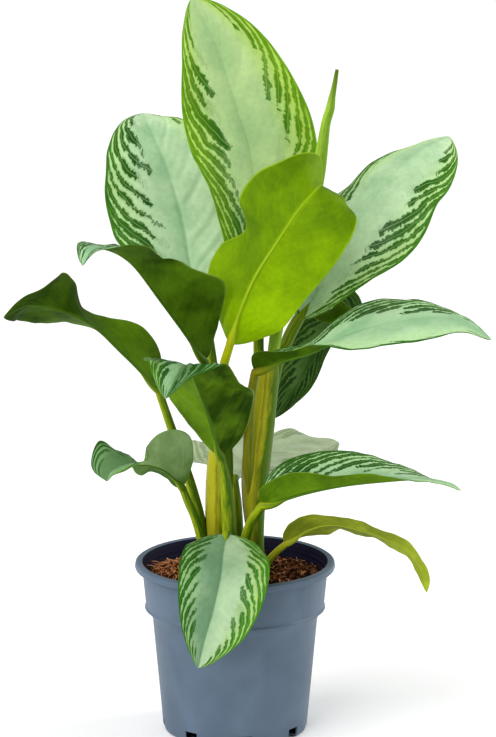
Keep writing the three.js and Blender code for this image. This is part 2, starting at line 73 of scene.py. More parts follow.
SOIL_Z = 130
SOIL_MOUND = 3.5
SOIL_HEAPS = ((-58, -8, 7.0), (60, 6, 6.0))  # where it is heaped up: x, y and height
LOOSE_HEAPS = ((-54, 4, 5.0),)  # loose coir that lies on the firm bed
HEAP_SPREAD = 600  # square of a heap's reach
SOIL_GRAIN = 0.35  # how far the bed's points stand up or down at random
SOIL_TUCK = 0.4  # that the bed's edge reaches out past the collar's foot, to the pot's wall
SOIL_HUB = 0.3  # radius of the bed's innermost ring
SOIL_RINGS = 60
SOIL_SIDES = 160
LITTER_OFF_WALL = 7  # that fibres and crumbs stay away from the bed's edge
LITTER_BELOW = 6  # and how far under the bed's level they may still lie
FIBRES_PER_M2 = 90000.0
CRUMBS_PER_M2 = 70000.0
FIBRE_HALF_LENGTH = 6
FIBRE_RADIUS = 0.32  # about twice as thick as real coir, which would not show

# ---- the plant ------------------------------------------------------------------------------
# Each route is a list of points that a smooth curve passes through, in mm. A leaf has
#   stalk, thick: its petiole's route up to the blade, and radii along it
#   rib: the midrib's route from the blade's base to its tip
#   faces: which way the upper side looks, from base to tip
#   half: half of the blade's width at its widest, on a flat leaf
#   fold_left, fold_right: degrees that each half is raised off the flat, from base to tip
#   spread_left, spread_right: how full each half is against the common outline
#   wave: height, number and start of the waves of its margin
#   curl: degrees that each half turns up from its midrib to its margin, where it isn't BLADE_CURL
#   colour: which of the part's leaf slots it takes its finish from
# Left and right are as seen from above with the tip pointing away.

STEMS = {
    "stem_left": {
        "route": [
            [-15, 3, 106], [-15, 3, 130], [-15, 2, 173],
            [-13.5, 0, 209], [-12, -2, 240], [-10, -3, 257],
        ],
        "radii": [6, 7, 8.5, 10.4, 10.8, 8.5],
    },
    "stem_right": {
        "route": [
            [18, 8, 106], [18, 8, 130], [17, 8, 168], [16, 8, 198],
            [18, 8, 231], [23, 8, 268], [27, 8, 300], [28, 8, 318],
        ],
        "radii": [6, 6.5, 6.5, 9, 11, 10.5, 9.5, 8.5],
    },
}

LEAVES = {
    "leaf_top": {
        "stalk": [[24, 8, 290], [20, 9, 325]],
        "thick": [4.5, 4.5, 4],
        "rib": [
            [21, 14, 368], [19, 28, 427], [13, 38, 489], [2, 42, 527],
            [-11, 42, 569], [-25, 38, 601], [-36, 34, 622],
        ],
        "faces": [[0.05, -1, 0.1]],
        "half": 56,
        "fold_left": [20, 30, 40, 35, 25, 20, 10],
        "fold_right": [0, 0, -5, 0, 0, 0, 0],
        "spread_left": [0.6, 0.65, 0.72, 0.85, 1, 1, 1, 1, 1],
        "spread_right": [1, 1, 1, 1.05, 1.1, 1.1, 1.1],
        "wave": [2, 3, 0],
        "colour": "silver",
    },
    "leaf_left_back": {
        "stalk": [[-10, 4, 236], [-12, 8, 265], [-19, 14, 318]],
        "thick": [4, 4.5, 4, 4],
        "rib": [
            [-24, 22, 349], [-37, 38, 392], [-44, 50, 430], [-57, 62, 473],
            [-68, 74, 497], [-75, 92, 508], [-79, 116, 512],
        ],
        "faces": [[0.1, -1, 0.2], [0.1, -1, 0.2], [0.1, -0.9, 0.5], [0.1, -0.6, 0.9]],
        "half": 58,
        "fold_left": [10, 5, 5, 0],
        "spread_left": [0.5, 0.6, 0.8, 1, 1.05, 1.1, 1.1, 1, 0.9],
        "fold_right": [15, 10, 5, 5],
        "wave": [2, 3, 0.2],
        "colour": "silver",
    },
    "leaf_right_high": {
        "stalk": [[31, 10, 286], [36, 12, 314], [43, 15, 330]],
        "thick": [4, 4.5, 4, 4],
        "rib": [
            [55, 20, 353], [85, 34, 401], [102, 42, 425], [119, 52, 450],
            [136, 66, 470], [159, 88, 485], [184, 120, 491],
        ],
        "faces": [[-0.25, -0.75, 0.5]],
        "half": 52,
        "fold_left": [30, 25, 0, -25, -25, -20, -10],
        "fold_right": [10, 8, 3, 0, 0, 0],
        "spread_left": [0.9, 0.9, 0.9, 1, 0.85, 0.6, 0.6],
        "spread_right": [0.6, 0.65, 0.82, 0.98, 1.06, 1.05, 1.15, 1.2, 1.2],
        "wave": [2, 3, 0.1],
        "colour": "silver",
    },
    "leaf_young": {
        "stalk": [[-6, -3, 236], [-6, -8, 260], [-9, -20, 290], [-10, -30, 318]],
        "thick": [4, 4.5, 4, 4, 3.5],
        "rib": [
            [-4, -38, 343], [5, -46, 374], [18, -56, 406], [35, -65, 435],
            [52, -70, 462], [65, -66, 477], [71, -50, 479], [73, -34, 471], [71, -22, 458],
        ],
        "faces": [
            [0.2, 0.95, 0.1], [0.2, 0.95, 0.1], [0.2, 0.95, 0.1], [0.15, 0.95, 0], [0.1, 0.95, 0],
            [0, 0.9, -0.3], [-0.3, 0.75, -0.5], [-0.85, 0, -0.3], [-0.8, -0.3, -0.5],
        ],
        "half": 52,
        "fold_left": [20, 0, 0, 0, 0, -2, -16, -50, -30],
        "fold_right": [50, 40, 45, 50, 30, 15, -10, -15, 0],
        "spread_left": [1, 0.95, 0.9, 0.9, 0.96, 1.06, 1.14, 0.78, 0.8],
        "spread_right": [1.1, 1.4, 1.32, 0.95, 1.06, 1.1, 0.93, 0.78, 0.9],
        "wave": [3, 2.5, 0.3],
        "curl": 10,
        "colour": "young",
    },
    "leaf_left_upper": {
        "stalk": [[-13, -5, 236], [-15, -12, 265], [-18, -22, 294]],
        "thick": [4, 4.5, 4, 3.5],
        "rib": [
            [-25, -28, 326], [-40, -40, 352], [-61, -54, 384], [-80, -68, 413], [-92, -84, 427],
            [-103, -100, 435], [-111, -110, 438], [-116, -116, 437], [-120, -119, 431], [-122, -120, 426],
        ],
        "faces": [[0.3, 0.9, 0.4], [0.3, 0.9, 0.4], [0.2, 0.8, 0.7], [0, 0.1, 1], [-0.1, -0.4, 1]],
        "half": 48,
        "fold_left": [65, 40, 22, 15, 10, 20, 20],
        "fold_right": [55, 65, 75, 70, 50, 20, 0],
        "spread_left": [0.75, 0.85, 1.08, 1.1, 0.82, 0.75, 0.9, 0.45, 0.3],
        "spread_right": [1, 1, 1, 0.9, 0.7, 0.5, 0.35, 0.8, 1],
        "wave": [2, 4, 0.1],
        "colour": "dark",
    },
    "leaf_left_low": {
        "stalk": [[-25, 5, 106], [-25, 5, 130], [-26, 4, 160], [-36, -2, 209], [-50, -8, 254]],
        "thick": [4, 5, 5, 4.2, 3.8, 3.4],
        "rib": [
            [-64, -12, 298], [-79, -18, 317], [-96, -26, 336], [-113, -36, 355],
            [-131, -48, 369], [-152, -62, 379], [-171, -78, 384], [-188, -92, 378],
        ],
        "faces": [[0.3, 0.9, 0.4], [0.2, 0.8, 0.6]],
        "half": 42,
        "fold_left": [85, 80, 85, 115, 120, 75, 45, 20, 10],
        "fold_right": [60, 60, 60, 50, 30, 10, 0, 0, 0],
        "spread_left": [1, 1, 0.9, 0.7, 0.6, 0.75, 0.95, 0.75, 0.5],
        "spread_right": [1, 1, 0.9, 0.7, 0.6, 0.65, 0.75, 1, 1],
        "wave": [1, 3, 0.1],
        "colour": "dark",
    },
    "leaf_front_mid": {
        "stalk": [[-3, -8, 106], [-3, -8, 130], [-4, -10, 158], [-6, -15, 194], [-8, -20, 222]],
        "thick": [5, 6, 6.2, 5.8, 5, 3.8],
        "rib": [
            [-12, -24, 243], [-17, -34, 263], [-23, -44, 287], [-30, -56, 310],
            [-37, -74, 331], [-42, -96, 338], [-49, -112, 330], [-56, -120, 316],
        ],
        "faces": [[0.2, 0.95, 0.1], [0.2, 0.95, 0.2], [0.1, 0.5, 0.8], [-0.1, -0.3, 1], [-0.1, -0.6, 0.8]],
        "half": 46,
        "fold_left": [40, 40, 15, 2, 10, 35],
        "fold_right": [45, 35, 30, 20, 10, 10],
        "spread_left": [1.05, 1, 0.96, 0.9, 0.86, 0.88, 0.9, 0.7, 0.7],
        "spread_right": [0.75, 0.78, 0.84, 0.9, 1, 1, 1, 1, 1],
        "wave": [2, 3, 0.3],
        "colour": "dark",
    },
    "leaf_left_small": {
        "stalk": [[-22, -9, 106], [-23, -9, 130], [-26, -10, 158], [-33, -14, 186], [-40, -18, 204]],
        "thick": [4, 4.8, 4.6, 4, 3.6, 3.2],
        "rib": [
            [-44, -22, 216], [-52, -28, 226], [-60, -38, 235], [-68, -52, 242], [-77, -64, 247],
            [-86, -76, 251], [-95, -86, 251], [-102, -91, 247], [-105, -93, 240],
        ],
        "faces": [
            [-0.2, 0.9, 0.2], [-0.4, 0.85, 0.1], [-0.6, 0.8, 0], [-0.7, 0.7, 0], [-0.7, 0.7, 0],
            [-0.2, -0.4, 0.9], [-0.3, -0.8, 0.7], [-0.15, -0.9, 0.4], [-0.15, -0.9, 0.4],
        ],
        "half": 30,
        "fold_left": [30, 10, 0, 8, 28, 38, 20, 20, 20],
        "fold_right": [40, 70, 75, 60, 40, 25, 20, 10, 10],
        "spread_left": [1.2, 1.3, 1.35, 1.05, 0.55, 0.3, 0.35, 0.4, 0.4],
        "spread_right": [0.5, 0.4, 0.4, 0.4, 0.4, 0.4, 0.75, 1.8, 2],
        "wave": [1, 3, 0.1],
        "colour": "dark",
    },
    "leaf_right_mid": {
        "stalk": [[12, 1, 200], [11, -4, 228], [12, -11, 265], [13, -17, 290]],
        "thick": [3.5, 4.5, 4.5, 4, 3.8],
        "rib": [
            [17, -23, 316], [35, -35, 328], [64, -54, 341], [96, -70, 360],
            [129, -84, 372], [161, -94, 378], [188, -100, 375], [209, -102, 361],
        ],
        "faces": [[0, -0.3, 0.95]],
        "half": 48,
        "fold_left": [70, 40, 15, 5, 0, -10, -15],
        "fold_right": [100, 90, 35, 10, 5, 0, 10],
        "spread_left": [0.3, 0.3, 0.35, 0.75, 1.15, 1.02, 0.88, 0.9, 0.9],
        "spread_right": [0.9, 0.28, 0.15, 0.5, 0.9, 1.05, 0.95, 0.8, 0.8],
        "wave": [1.5, 3, 0.1],
        "colour": "silver",
    },
    "leaf_right_back": {
        "stalk": [[27, 12, 262], [32, 18, 290], [38, 28, 318], [52, 38, 348]],
        "thick": [3.5, 4.2, 4, 3.8, 3.4],
        "rib": [
            [72, 46, 366], [84, 56, 362], [84, 68, 345], [75, 76, 324],
            [63, 80, 302], [50, 83, 276], [34, 84, 251],
        ],
        "faces": [[0, 0.2, 1], [0.2, -0.8, 0.5], [0.3, -0.6, 0.6], [0.25, -0.8, 0.35], [0.2, -0.95, 0.1]],
        "half": 27,
        "fold_left": [10],
        "fold_right": [10],
        "spread_left": [1, 1.15, 0.96, 0.45, 0.4, 0.54, 0.62, 0.6, 0.6],
        "wave": [1, 3, 0.1],
        "colour": "dark",
    },
    "leaf_right_low": {
        "stalk": [[6, -8, 106], [6, -8, 130], [7, -10, 158], [13, -19, 184]],
        "thick": [4, 4.8, 4.6, 4.2, 3.8],
        "rib": [
            [23, -30, 203], [54, -48, 218], [87, -64, 229], [120, -78, 236],
            [153, -88, 240], [175, -94, 238], [186, -96, 233],
        ],
        "faces": [[0, -0.35, 0.95]],
        "half": 46,
        "fold_left": [60, 35, 15, 5, -10, -25, -20],
        "fold_right": [88, 88, 86, 80, 60, 30, 10],
        "spread_left": [0.9, 1.05, 1, 1, 1, 0.9],
        "spread_right": [0.8, 0.55, 0.3, 0.25, 0.25, 0.4],
        "wave": [1.5, 3, 0.1],
        "colour": "silver",
    },
    "leaf_right_yellow": {
        "stalk": [[21, -8, 108], [22, -10, 130], [28, -20, 151], [35, -24, 161]],
        "thick": [3, 3.4, 3.2, 3, 2.8],
        "rib": [
            [43, -28, 169], [59, -32, 182], [80, -40, 190], [105, -48, 187],
            [128, -54, 180], [146, -58, 169], [156, -62, 154], [160, -64, 137],
        ],
        "faces": [[0.1, 0.5, 0.85], [0.2, 0.5, 0.8], [0.5, 0.5, 0.5]],
        "half": 21,
        "fold_left": [30, 10, 10, 10, 10, 15],
        "fold_right": [20, 10, 10, 10, 10, 10],
        "spread_left": [1.6, 1.9, 1.3, 1.2, 1.15, 1, 1, 1, 1],
        "spread_right": [1.3, 1.25, 1.1, 0.9, 0.8, 0.8, 0.85, 0.9, 1],
        "wave": [1, 4, 0.1],
        "colour": "young",
    },
    "leaf_front": {
        "stalk": [[-3, -22, 108], [-3, -22, 130], [-4, -24, 158], [-6, -30, 175]],
        "thick": [3.8, 4.6, 4.4, 4, 3.6],
        "rib": [
            [-7, -38, 180], [-10, -68, 168], [-12, -90, 155],
            [-18, -100, 130], [-25, -104, 106], [-30, -106, 84],
        ],
        "faces": [[0, -0.5, 0.85], [0, -0.8, 0.5], [0, -1, 0.15]],
        "half": 41,
        "fold_left": [10, 18, 22, 20, 15],
        "fold_right": [10, 22, 28, 30, 20],
        "spread_right": [1, 0.95, 0.88, 0.88, 0.87, 0.85, 0.82, 0.7, 0.6],
        "curl": -20,
        "wave": [1, 3, 0.1],
        "colour": "silver",
    },
    "leaf_back": {
        "stalk": [[4, 16, 106], [4, 16, 130], [3, 19, 158], [2, 24, 188]],
        "thick": [4, 4.8, 4.6, 4, 3.6],
        "rib": [[-1, 32, 211], [9, 70, 212], [28, 110, 214], [57, 140, 214], [89, 165, 211]],
        "faces": [[0, -0.1, 1]],
        "half": 58,
        "fold_left": [15],
        "fold_right": [5],
        "spread_left": [1, 1, 1, 0.95, 0.85, 0.7, 0.6, 0.6, 0.6],
        "wave": [4, 4, 0.1],
        "colour": "faded",
    },
}

# The newest leaf, rolled tight round itself, with a thin drawn-out tip.
SPEAR = {
    "route": [
        [30, 7, 292], [33, 7, 330], [42, 10, 379], [57, 14, 434],
        [69, 16, 476], [76, 18, 522], [82, 20, 547], [85, 20, 564],
    ],
    "radii": [3.5, 4.5, 5, 6.5, 7, 5, 3, 1],
}

# ---- curves and shares ----------------------------------------------------------------------

ROUTE_STEPS = 60  # between two points of a route
LENGTH_STEPS = 200
BELLY = 0.42  # share of the length where a blade is widest
BLADE_CURL = -10  # degrees that a half turns up from its midrib to its margin: below 0 it turns down
OUTLINE_RISE = 0.52  # how blunt a blade's base is: a square root is 0.5
TIP_HALF = 0.8  # half width that a blade keeps at its ends, in mm
WAVE_LAG = 0.35  # waves that the right margin is ahead of the left one


def unit(vectors):
    """The same vectors, one long."""
    return vectors / np.maximum(np.linalg.norm(vectors, axis=-1, keepdims=True), 1e-9)


def smooth_between(p0, p1, p2, p3, f):
    """A share f of the way from p1 to p2 on a smooth curve that comes from p0 and goes on to p3."""
    bend = 2 * p0 - 5 * p1 + 4 * p2 - p3
    twist = -p0 + 3 * p1 - 3 * p2 + p3
    return 0.5 * (2 * p1 + (p2 - p0) * f + bend * f**2 + twist * f**3)


def smooth_route(points, shares):
    """Places at shares of the length of a smooth curve through the points."""
    points = np.array(points, float)
    through = np.vstack([2 * points[0] - points[1], points, 2 * points[-1] - points[-2]])
    f = np.linspace(0, 1, ROUTE_STEPS, endpoint=False)[:, None]
    spans = zip(through, through[1:], through[2:], through[3:])
    fine = np.vstack([smooth_between(*span, f) for span in spans] + [points[-1:]])
    run = np.concatenate([[0], np.cumsum(np.linalg.norm(np.diff(fine, axis=0), axis=1))])
    places = [np.interp(np.asarray(shares) * run[-1], run, fine[:, k]) for k in range(3)]
    return np.stack(places, axis=-1)


def route_length(points):
    """Length of the smooth curve through the points."""
    places = smooth_route(points, np.linspace(0, 1, LENGTH_STEPS))
    return float(np.linalg.norm(np.diff(places, axis=0), axis=1).sum())


def along(values, shares):
    """A list of numbers or vectors, evenly spaced from 0 to 1, read at shares on a smooth line."""
    values = np.array(values, float)
    flat = values[:, None] if values.ndim == 1 else values
    if len(flat) == 1:
        return np.repeat(values, len(shares), axis=0)
    padded = np.vstack([flat[:1], flat, flat[-1:]])
    x = np.clip(shares, 0, 1) * (len(flat) - 1)
    i = np.minimum(x.astype(int), len(flat) - 2)
    f = (x - i)[:, None]
    read = smooth_between(padded[i], padded[i + 1], padded[i + 2], padded[i + 3], f)
    return read[:, 0] if values.ndim == 1 else read


def outline(t):
    """Half width against the widest: a rounded base and a drawn-out tip."""
    fall = OUTLINE_RISE * (1 - BELLY) / BELLY
    peak = BELLY**OUTLINE_RISE * (1 - BELLY) ** fall
    return t**OUTLINE_RISE * (1 - t) ** fall / peak


def step_up(x, low, high):
    """0 below low, 1 above high, and smooth between."""
    s = np.clip((x - low) / (high - low), 0, 1)
    return s * s * (3 - 2 * s)


# ---- Blender helpers ------------------------------------------------------------------------


def colour(hex_value, alpha=1.0):
    """An sRGB hex colour as the linear numbers that shaders take."""
    parts = [((hex_value >> shift) & 255) / 255 for shift in (16, 8, 0)]
    linear = [p / 12.92 if p <= 0.04045 else ((p + 0.055) / 1.055) ** 2.4 for p in parts]
    return (*linear, alpha)


def feed(node, inputs):
    """Sets a node's inputs to values, or links them to sockets or to a node's first live output."""
    for key, value in inputs.items():
        if isinstance(value, bpy.types.Node):
            value = next(output for output in value.outputs if output.enabled)
        if isinstance(value, bpy.types.NodeSocket):
            node.id_data.links.new(value, node.inputs[key])
        else:
            node.inputs[key].default_value = value


def add_node(tree, kind, inputs=None, **settings):
    """Adds a node with its settings, and inputs as feed takes them."""
    node = tree.nodes.new(kind)
    for name, value in settings.items():
        setattr(node, name, value)
    feed(node, inputs or {})
    return node


def new_object(name, data):
    """An object at the origin, in the scene."""
    made = bpy.data.objects.new(name, data)
    bpy.context.scene.collection.objects.link(made)
    return made


def mesh_object(name, places, faces, smooth=True):
    """A mesh object from places in metres, at the origin."""
    mesh = bpy.data.meshes.new(name)
    mesh.from_pydata([tuple(p) for p in places], [], [tuple(f) for f in faces])
    mesh.update()
    if smooth:
        mesh.shade_smooth()
    return new_object(name, mesh)


def store(piece, name, values):
    """Keeps one number or vector for each point of a mesh, for its material to read."""
    values = np.asarray(values, np.float32)
    kind, field = ("FLOAT", "value") if values.ndim == 1 else ("FLOAT_VECTOR", "vector")
    attribute = piece.data.attributes.new(name, kind, "POINT")
    attribute.data.foreach_set(field, values.ravel())


def run_nodes(piece, tree, values):
    """Runs a geometry node tree on an object, with inputs by name, and keeps the result as its plain mesh."""
    modifier = piece.modifiers.new(tree.name, "NODES")
    modifier.node_group = tree
    for item in tree.interface.items_tree:
        if item.in_out == "INPUT" and item.name in values:
            modifier[item.identifier] = values[item.name]
    piece.update_tag()
    bpy.context.view_layer.update()
    evaluated = piece.evaluated_get(bpy.context.evaluated_depsgraph_get())
    mesh = bpy.data.meshes.new_from_object(evaluated)
    name = piece.name
    bpy.data.objects.remove(piece)
    mesh.name = name
    return new_object(name, mesh)


def new_tree(name, inputs):
    """An empty geometry node tree with named inputs: itself, what adds nodes to it, and its input sockets."""
    tree = bpy.data.node_groups.new(name, "GeometryNodeTree")
    for label, (kind, default) in {"Geometry": ("Geometry", None), **inputs}.items():
        socket = tree.interface.new_socket(label, in_out="INPUT", socket_type=f"NodeSocket{kind}")
        if default is not None:
            socket.default_value = default
    tree.interface.new_socket("Geometry", in_out="OUTPUT", socket_type="NodeSocketGeometry")
    add = partial(add_node, tree)
    return tree, add, add("NodeGroupInput").outputs


def finish_piece(piece, node):
    """Puts a finished piece in the part: it stands for a CAD node and moves with the body."""
    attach(piece, "root")
    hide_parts(node)


# ---- materials ------------------------------------------------------------------------------
# A blade's mesh carries, for its materials:
#   flow: the lateral veins' own count and the distance out along them, in metres, and the leaf's number
#   across: -1 at the left margin, 0 on the midrib, 1 at the right margin
#   bands: the count of green streaks, whole numbers between two of them
#   streaks: the share of the half where the streaks begin
#   tone: painted light and shade, how light that half of the leaf is painted for the light that falls on it:
#       0 is dark, 1 is light, and past 1 its dark patches go too
# A stalk's mesh carries round, its cosine and sine and the distance along it in metres,
#   tone: which of its wrapped sheaths, as a random share, lap: the share across that sheath,
#   onto_blade: 0 on the petiole and 1 on the midrib, and shady: from -1 on the lit side to 1 on the other.

VEIN_SPACING = 9 * MM  # between neighbouring lateral veins, along the midrib
TOOTH = 2.2 * MM  # length of a step in a streak's edge
BREAK = 15 * MM  # between gaps in a streak
APART = 3.7  # step in a noise between two leaves or two streaks, so that they aren't alike
WANDER = 22 * MM  # length over which a streak drifts off its vein
LEAF_GRAIN = 1.6 * MM  # a leaf's skin cells are far finer, and are drawn as coarse as shows
MOULD_GRAIN = 0.8 * MM  # a mould's own grain is about 0.1 mm, and is drawn as coarse as shows
GLOW_REACH = (0.6 * MM, 1.0 * MM, 0.3 * MM)  # how far red, green and blue light spreads in a leaf
SILVER_CLOUD = 30 * MM  # soft patches on the silver
PLAIN_CLOUD = 26 * MM  # and on a plain green side
LEAF_SPOT = 4 * MM
STALK_STRIPE = 50 * MM  # length over which a stalk's stripes change
STALK_STAIN = 9 * MM
MELT_FLOW = 45 * MM  # width of the cloudy patches that flowing plastic leaves
COIR_CRUMB = 3 * MM
DAMP_PATCH = 5 * MM


def new_material(name):
    """An empty node material: itself, what adds nodes to it, and its Principled shader."""
    material = bpy.data.materials.new(name)
    material.use_nodes = True
    tree = material.node_tree
    tree.nodes.clear()
    add = partial(add_node, tree)
    shader = add("ShaderNodeBsdfPrincipled")
    add("ShaderNodeOutputMaterial", {"Surface": shader})
    return material, add, shader


def blade_flow(add):
    """A blade's flow (vein count, distance out, leaf number), its across, and the share of its half."""
    flow = add("ShaderNodeAttribute", attribute_name="flow").outputs["Vector"]
    across = add("ShaderNodeAttribute", attribute_name="across").outputs["Fac"]
    share = add("ShaderNodeMath", {0: across}, operation="ABSOLUTE")
    return add("ShaderNodeSeparateXYZ", {0: flow}).outputs, across, share


def vein_lines(add, count, width):
    """1 on a lateral vein and 0 between two, for a vein width given as a share of their spacing."""
    number = add("ShaderNodeMath", {0: count, 1: 1 / VEIN_SPACING}, operation="MULTIPLY")
    near = add("ShaderNodeMath", {0: number, 1: 0.5}, operation="PINGPONG")
    ends = {"From Min": 0.0, "From Max": width, "To Min": 1.0, "To Max": 0.0}
    return add("ShaderNodeMapRange", {"Value": near, **ends})


def soft_patches(add, place, size, detail, swing):
    """Soft patches of about this size, from minus the swing to plus the swing."""
    cloud = add("ShaderNodeTexNoise", {"Vector": place, "Scale": 1 / size, "Detail": detail})
    ends = {"From Min": 0.35, "From Max": 0.65, "To Min": -swing, "To Max": swing}
    return add("ShaderNodeMapRange", {"Value": cloud, **ends})


def mottled(add, place, skin, darkest, lightest):
    """A leaf's colour with fine spots, from the darkest to the lightest share of it."""
    spots = add("ShaderNodeTexNoise", {"Vector": place, "Scale": 1 / LEAF_SPOT, "Detail": 4.0})
    ends = {"From Min": 0.3, "From Max": 0.7, "To Min": darkest, "To Max": lightest}
    bright = add("ShaderNodeMapRange", {"Value": spots, **ends})
    return add("ShaderNodeVectorMath", {0: skin, "Scale": bright}, operation="SCALE")


def streak_field(add, place, flow, across, share):
    """How far inside a green streak a place is, in shares of their spacing: above 0 is green.

    Each streak follows a lateral vein, which stays pale. It begins at its own share of the half, its edges
    step in and out where small cross veins bound it, and it breaks here and there.
    """
    distance, number = flow[1], flow[2]
    wander = add("ShaderNodeTexNoise", {"Vector": place, "Scale": 1 / WANDER, "Detail": 1.0})
    bands = add("ShaderNodeAttribute", attribute_name="bands").outputs["Fac"]
    bands = add("ShaderNodeMath", {0: wander, 1: 0.7, 2: bands}, operation="MULTIPLY_ADD")
    band = add("ShaderNodeMath", {0: bands}, operation="FLOOR")
    part = add("ShaderNodeMath", {0: bands}, operation="FRACT")
    offset = add("ShaderNodeMath", {0: part, 1: 0.5}, operation="SUBTRACT")
    flank = add("ShaderNodeMath", {0: offset}, operation="SIGN")
    middle = add("ShaderNodeMath", {0: offset}, operation="ABSOLUTE")
    side = add("ShaderNodeMath", {0: across}, operation="SIGN")
    where = add("ShaderNodeMath", {0: number, 1: side}, operation="ADD")
    label = add("ShaderNodeCombineXYZ", {0: band, 1: where})
    chance = add("ShaderNodeTexWhiteNoise", {"Vector": label})
    chances = add("ShaderNodeSeparateXYZ", {0: chance.outputs["Color"]})

    # where this streak begins, and how wide it is
    begin = add("ShaderNodeAttribute", attribute_name="streaks").outputs["Fac"]
    begin = add("ShaderNodeMath", {0: chances.outputs[0], 1: 0.3, 2: begin}, operation="MULTIPLY_ADD")
    begin = add("ShaderNodeMath", {0: begin, 1: 0.15}, operation="SUBTRACT")
    grown = add("ShaderNodeMath", {0: begin, 1: 0.09}, operation="ADD")
    widest = add("ShaderNodeMapRange", {"Value": chances.outputs[1], "To Min": 0.14, "To Max": 0.36})
    width = add(
        "ShaderNodeMapRange",
        {"Value": share, "From Min": begin, "From Max": grown, "To Min": -0.3, "To Max": widest},
    )

    # breaks, and steps that differ from one flank to the other
    wider = add("ShaderNodeMath", {0: share, 1: 0.1, 2: width}, operation="MULTIPLY_ADD")
    field = add("ShaderNodeMath", {0: wider, 1: middle}, operation="SUBTRACT")
    run = add("ShaderNodeMath", {0: distance, 1: 1 / BREAK}, operation="MULTIPLY")
    row = add("ShaderNodeMath", {0: band, 1: APART, 2: flank}, operation="MULTIPLY_ADD")
    at = add("ShaderNodeCombineXYZ", {0: run, 1: row, 2: where})
    uneven = add("ShaderNodeTexNoise", {"Vector": at, "Scale": 1.0, "Detail": 2.0})
    field = add("ShaderNodeMath", {0: uneven, 1: 0.9, 2: field}, operation="MULTIPLY_ADD")
    shifted = add("ShaderNodeMath", {0: chances.outputs[2], 1: 7.0, 2: flank}, operation="MULTIPLY_ADD")
    teeth = add("ShaderNodeMath", {0: distance, 1: 1 / TOOTH, 2: shifted}, operation="MULTIPLY_ADD")
    tooth = add("ShaderNodeMath", {0: teeth}, operation="FLOOR")
    at = add("ShaderNodeCombineXYZ", {0: tooth, 1: row, 2: where})
    step = add("ShaderNodeTexWhiteNoise", {"Vector": at}).outputs["Value"]
    field = add("ShaderNodeMath", {0: step, 1: 0.22, 2: field}, operation="MULTIPLY_ADD")
    field = add("ShaderNodeMath", {0: field, 1: 0.56}, operation="SUBTRACT")
    vein = add(
        "ShaderNodeMapRange", {"Value": middle, "From Min": 0.015, "From Max": 0.045, "To Min": 0.55}
    )
    return field, vein


def variegated_leaf(name, deep, light, mint, lime, streak, streak_edge, fringe):
    """Upper side of an Aglaonema leaf: waxy, and silver where air lies under its skin, with green streaks.

    The silver is painted from grey-green on a shaded half to lime on a lit one, most of all near the margin,
    and painted darker near the midrib for the shade in its fold, as painted light and shade; its streaks are
    painted limier near the margin of a lit half.
    The streaks have a softer grey-green fringe, and a pale vein runs down each.
    """
    material, add, shader = new_material(name)
    flow, across, share = blade_flow(add)
    place = add("ShaderNodeTexCoord").outputs["Object"]
    tone = add("ShaderNodeAttribute", attribute_name="tone").outputs["Fac"]
    field, vein = streak_field(add, place, flow, across, share)
    inside = add("ShaderNodeMapRange", {"Value": field, "From Min": -0.01, "From Max": 0.015})
    green_share = add("ShaderNodeMath", {0: inside, 1: vein}, operation="MULTIPLY")
    near = add("ShaderNodeMapRange", {"Value": field, "From Min": -0.14, "From Max": 0.02, "To Max": 0.45})
    outward = add("ShaderNodeMapRange", {"Value": share, "From Min": 0.42, "From Max": 0.85})
    cloudy = soft_patches(add, place, SILVER_CLOUD, 3.0, 0.28)
    # painted shade: darker near the midrib, for the shade in the blade's fold
    painted_midrib_shade = add(
        "ShaderNodeMapRange",
        {"Value": share, "From Min": 0.0, "From Max": 0.55, "To Min": -0.4, "To Max": 0.05},
    )
    toned = add("ShaderNodeMath", {0: tone, 1: painted_midrib_shade}, operation="ADD")
    lit = add("ShaderNodeMath", {0: toned, 1: cloudy}, operation="ADD", use_clamp=True)
    pale = add("ShaderNodeMix", {"Factor": lit, "A": colour(deep), "B": colour(light)}, data_type="RGBA")
    # painted light: the gaps turn lime on a lit half
    gap = add("ShaderNodeMix", {"Factor": tone, "A": colour(mint), "B": colour(lime)}, data_type="RGBA")
    pale = add("ShaderNodeMix", {"Factor": outward, "A": pale, "B": gap}, data_type="RGBA")
    pale = add("ShaderNodeMix", {"Factor": near, "A": pale, "B": colour(fringe)}, data_type="RGBA")
    # painted light: the streaks turn limier near the margin of a lit half
    painted_streak_light = add("ShaderNodeMath", {0: outward, 1: tone}, operation="MULTIPLY")
    green = add(
        "ShaderNodeMix", {"Factor": painted_streak_light, "A": colour(streak), "B": colour(streak_edge)}, data_type="RGBA"
    )
    core = add(
        "ShaderNodeMapRange",
        {"Value": field, "From Min": 0.0, "From Max": 0.2, "To Min": 1.15, "To Max": 0.8},
    )
    green = add("ShaderNodeVectorMath", {0: green, "Scale": core}, operation="SCALE")
    skin = add("ShaderNodeMix", {"Factor": green_share, "A": pale, "B": green}, data_type="RGBA")
    skin = mottled(add, place, skin, 0.93, 1.05)
    margin = add("ShaderNodeMapRange", {"Value": share, "From Min": 0.94, "From Max": 0.965})
    edged = add("ShaderNodeMix", {"Factor": margin, "A": skin, "B": green}, data_type="RGBA")
    feed(shader, {"Base Color": edged})
    waxy_skin(add, shader, place, vein_lines(add, flow[0], 0.07))
    return material


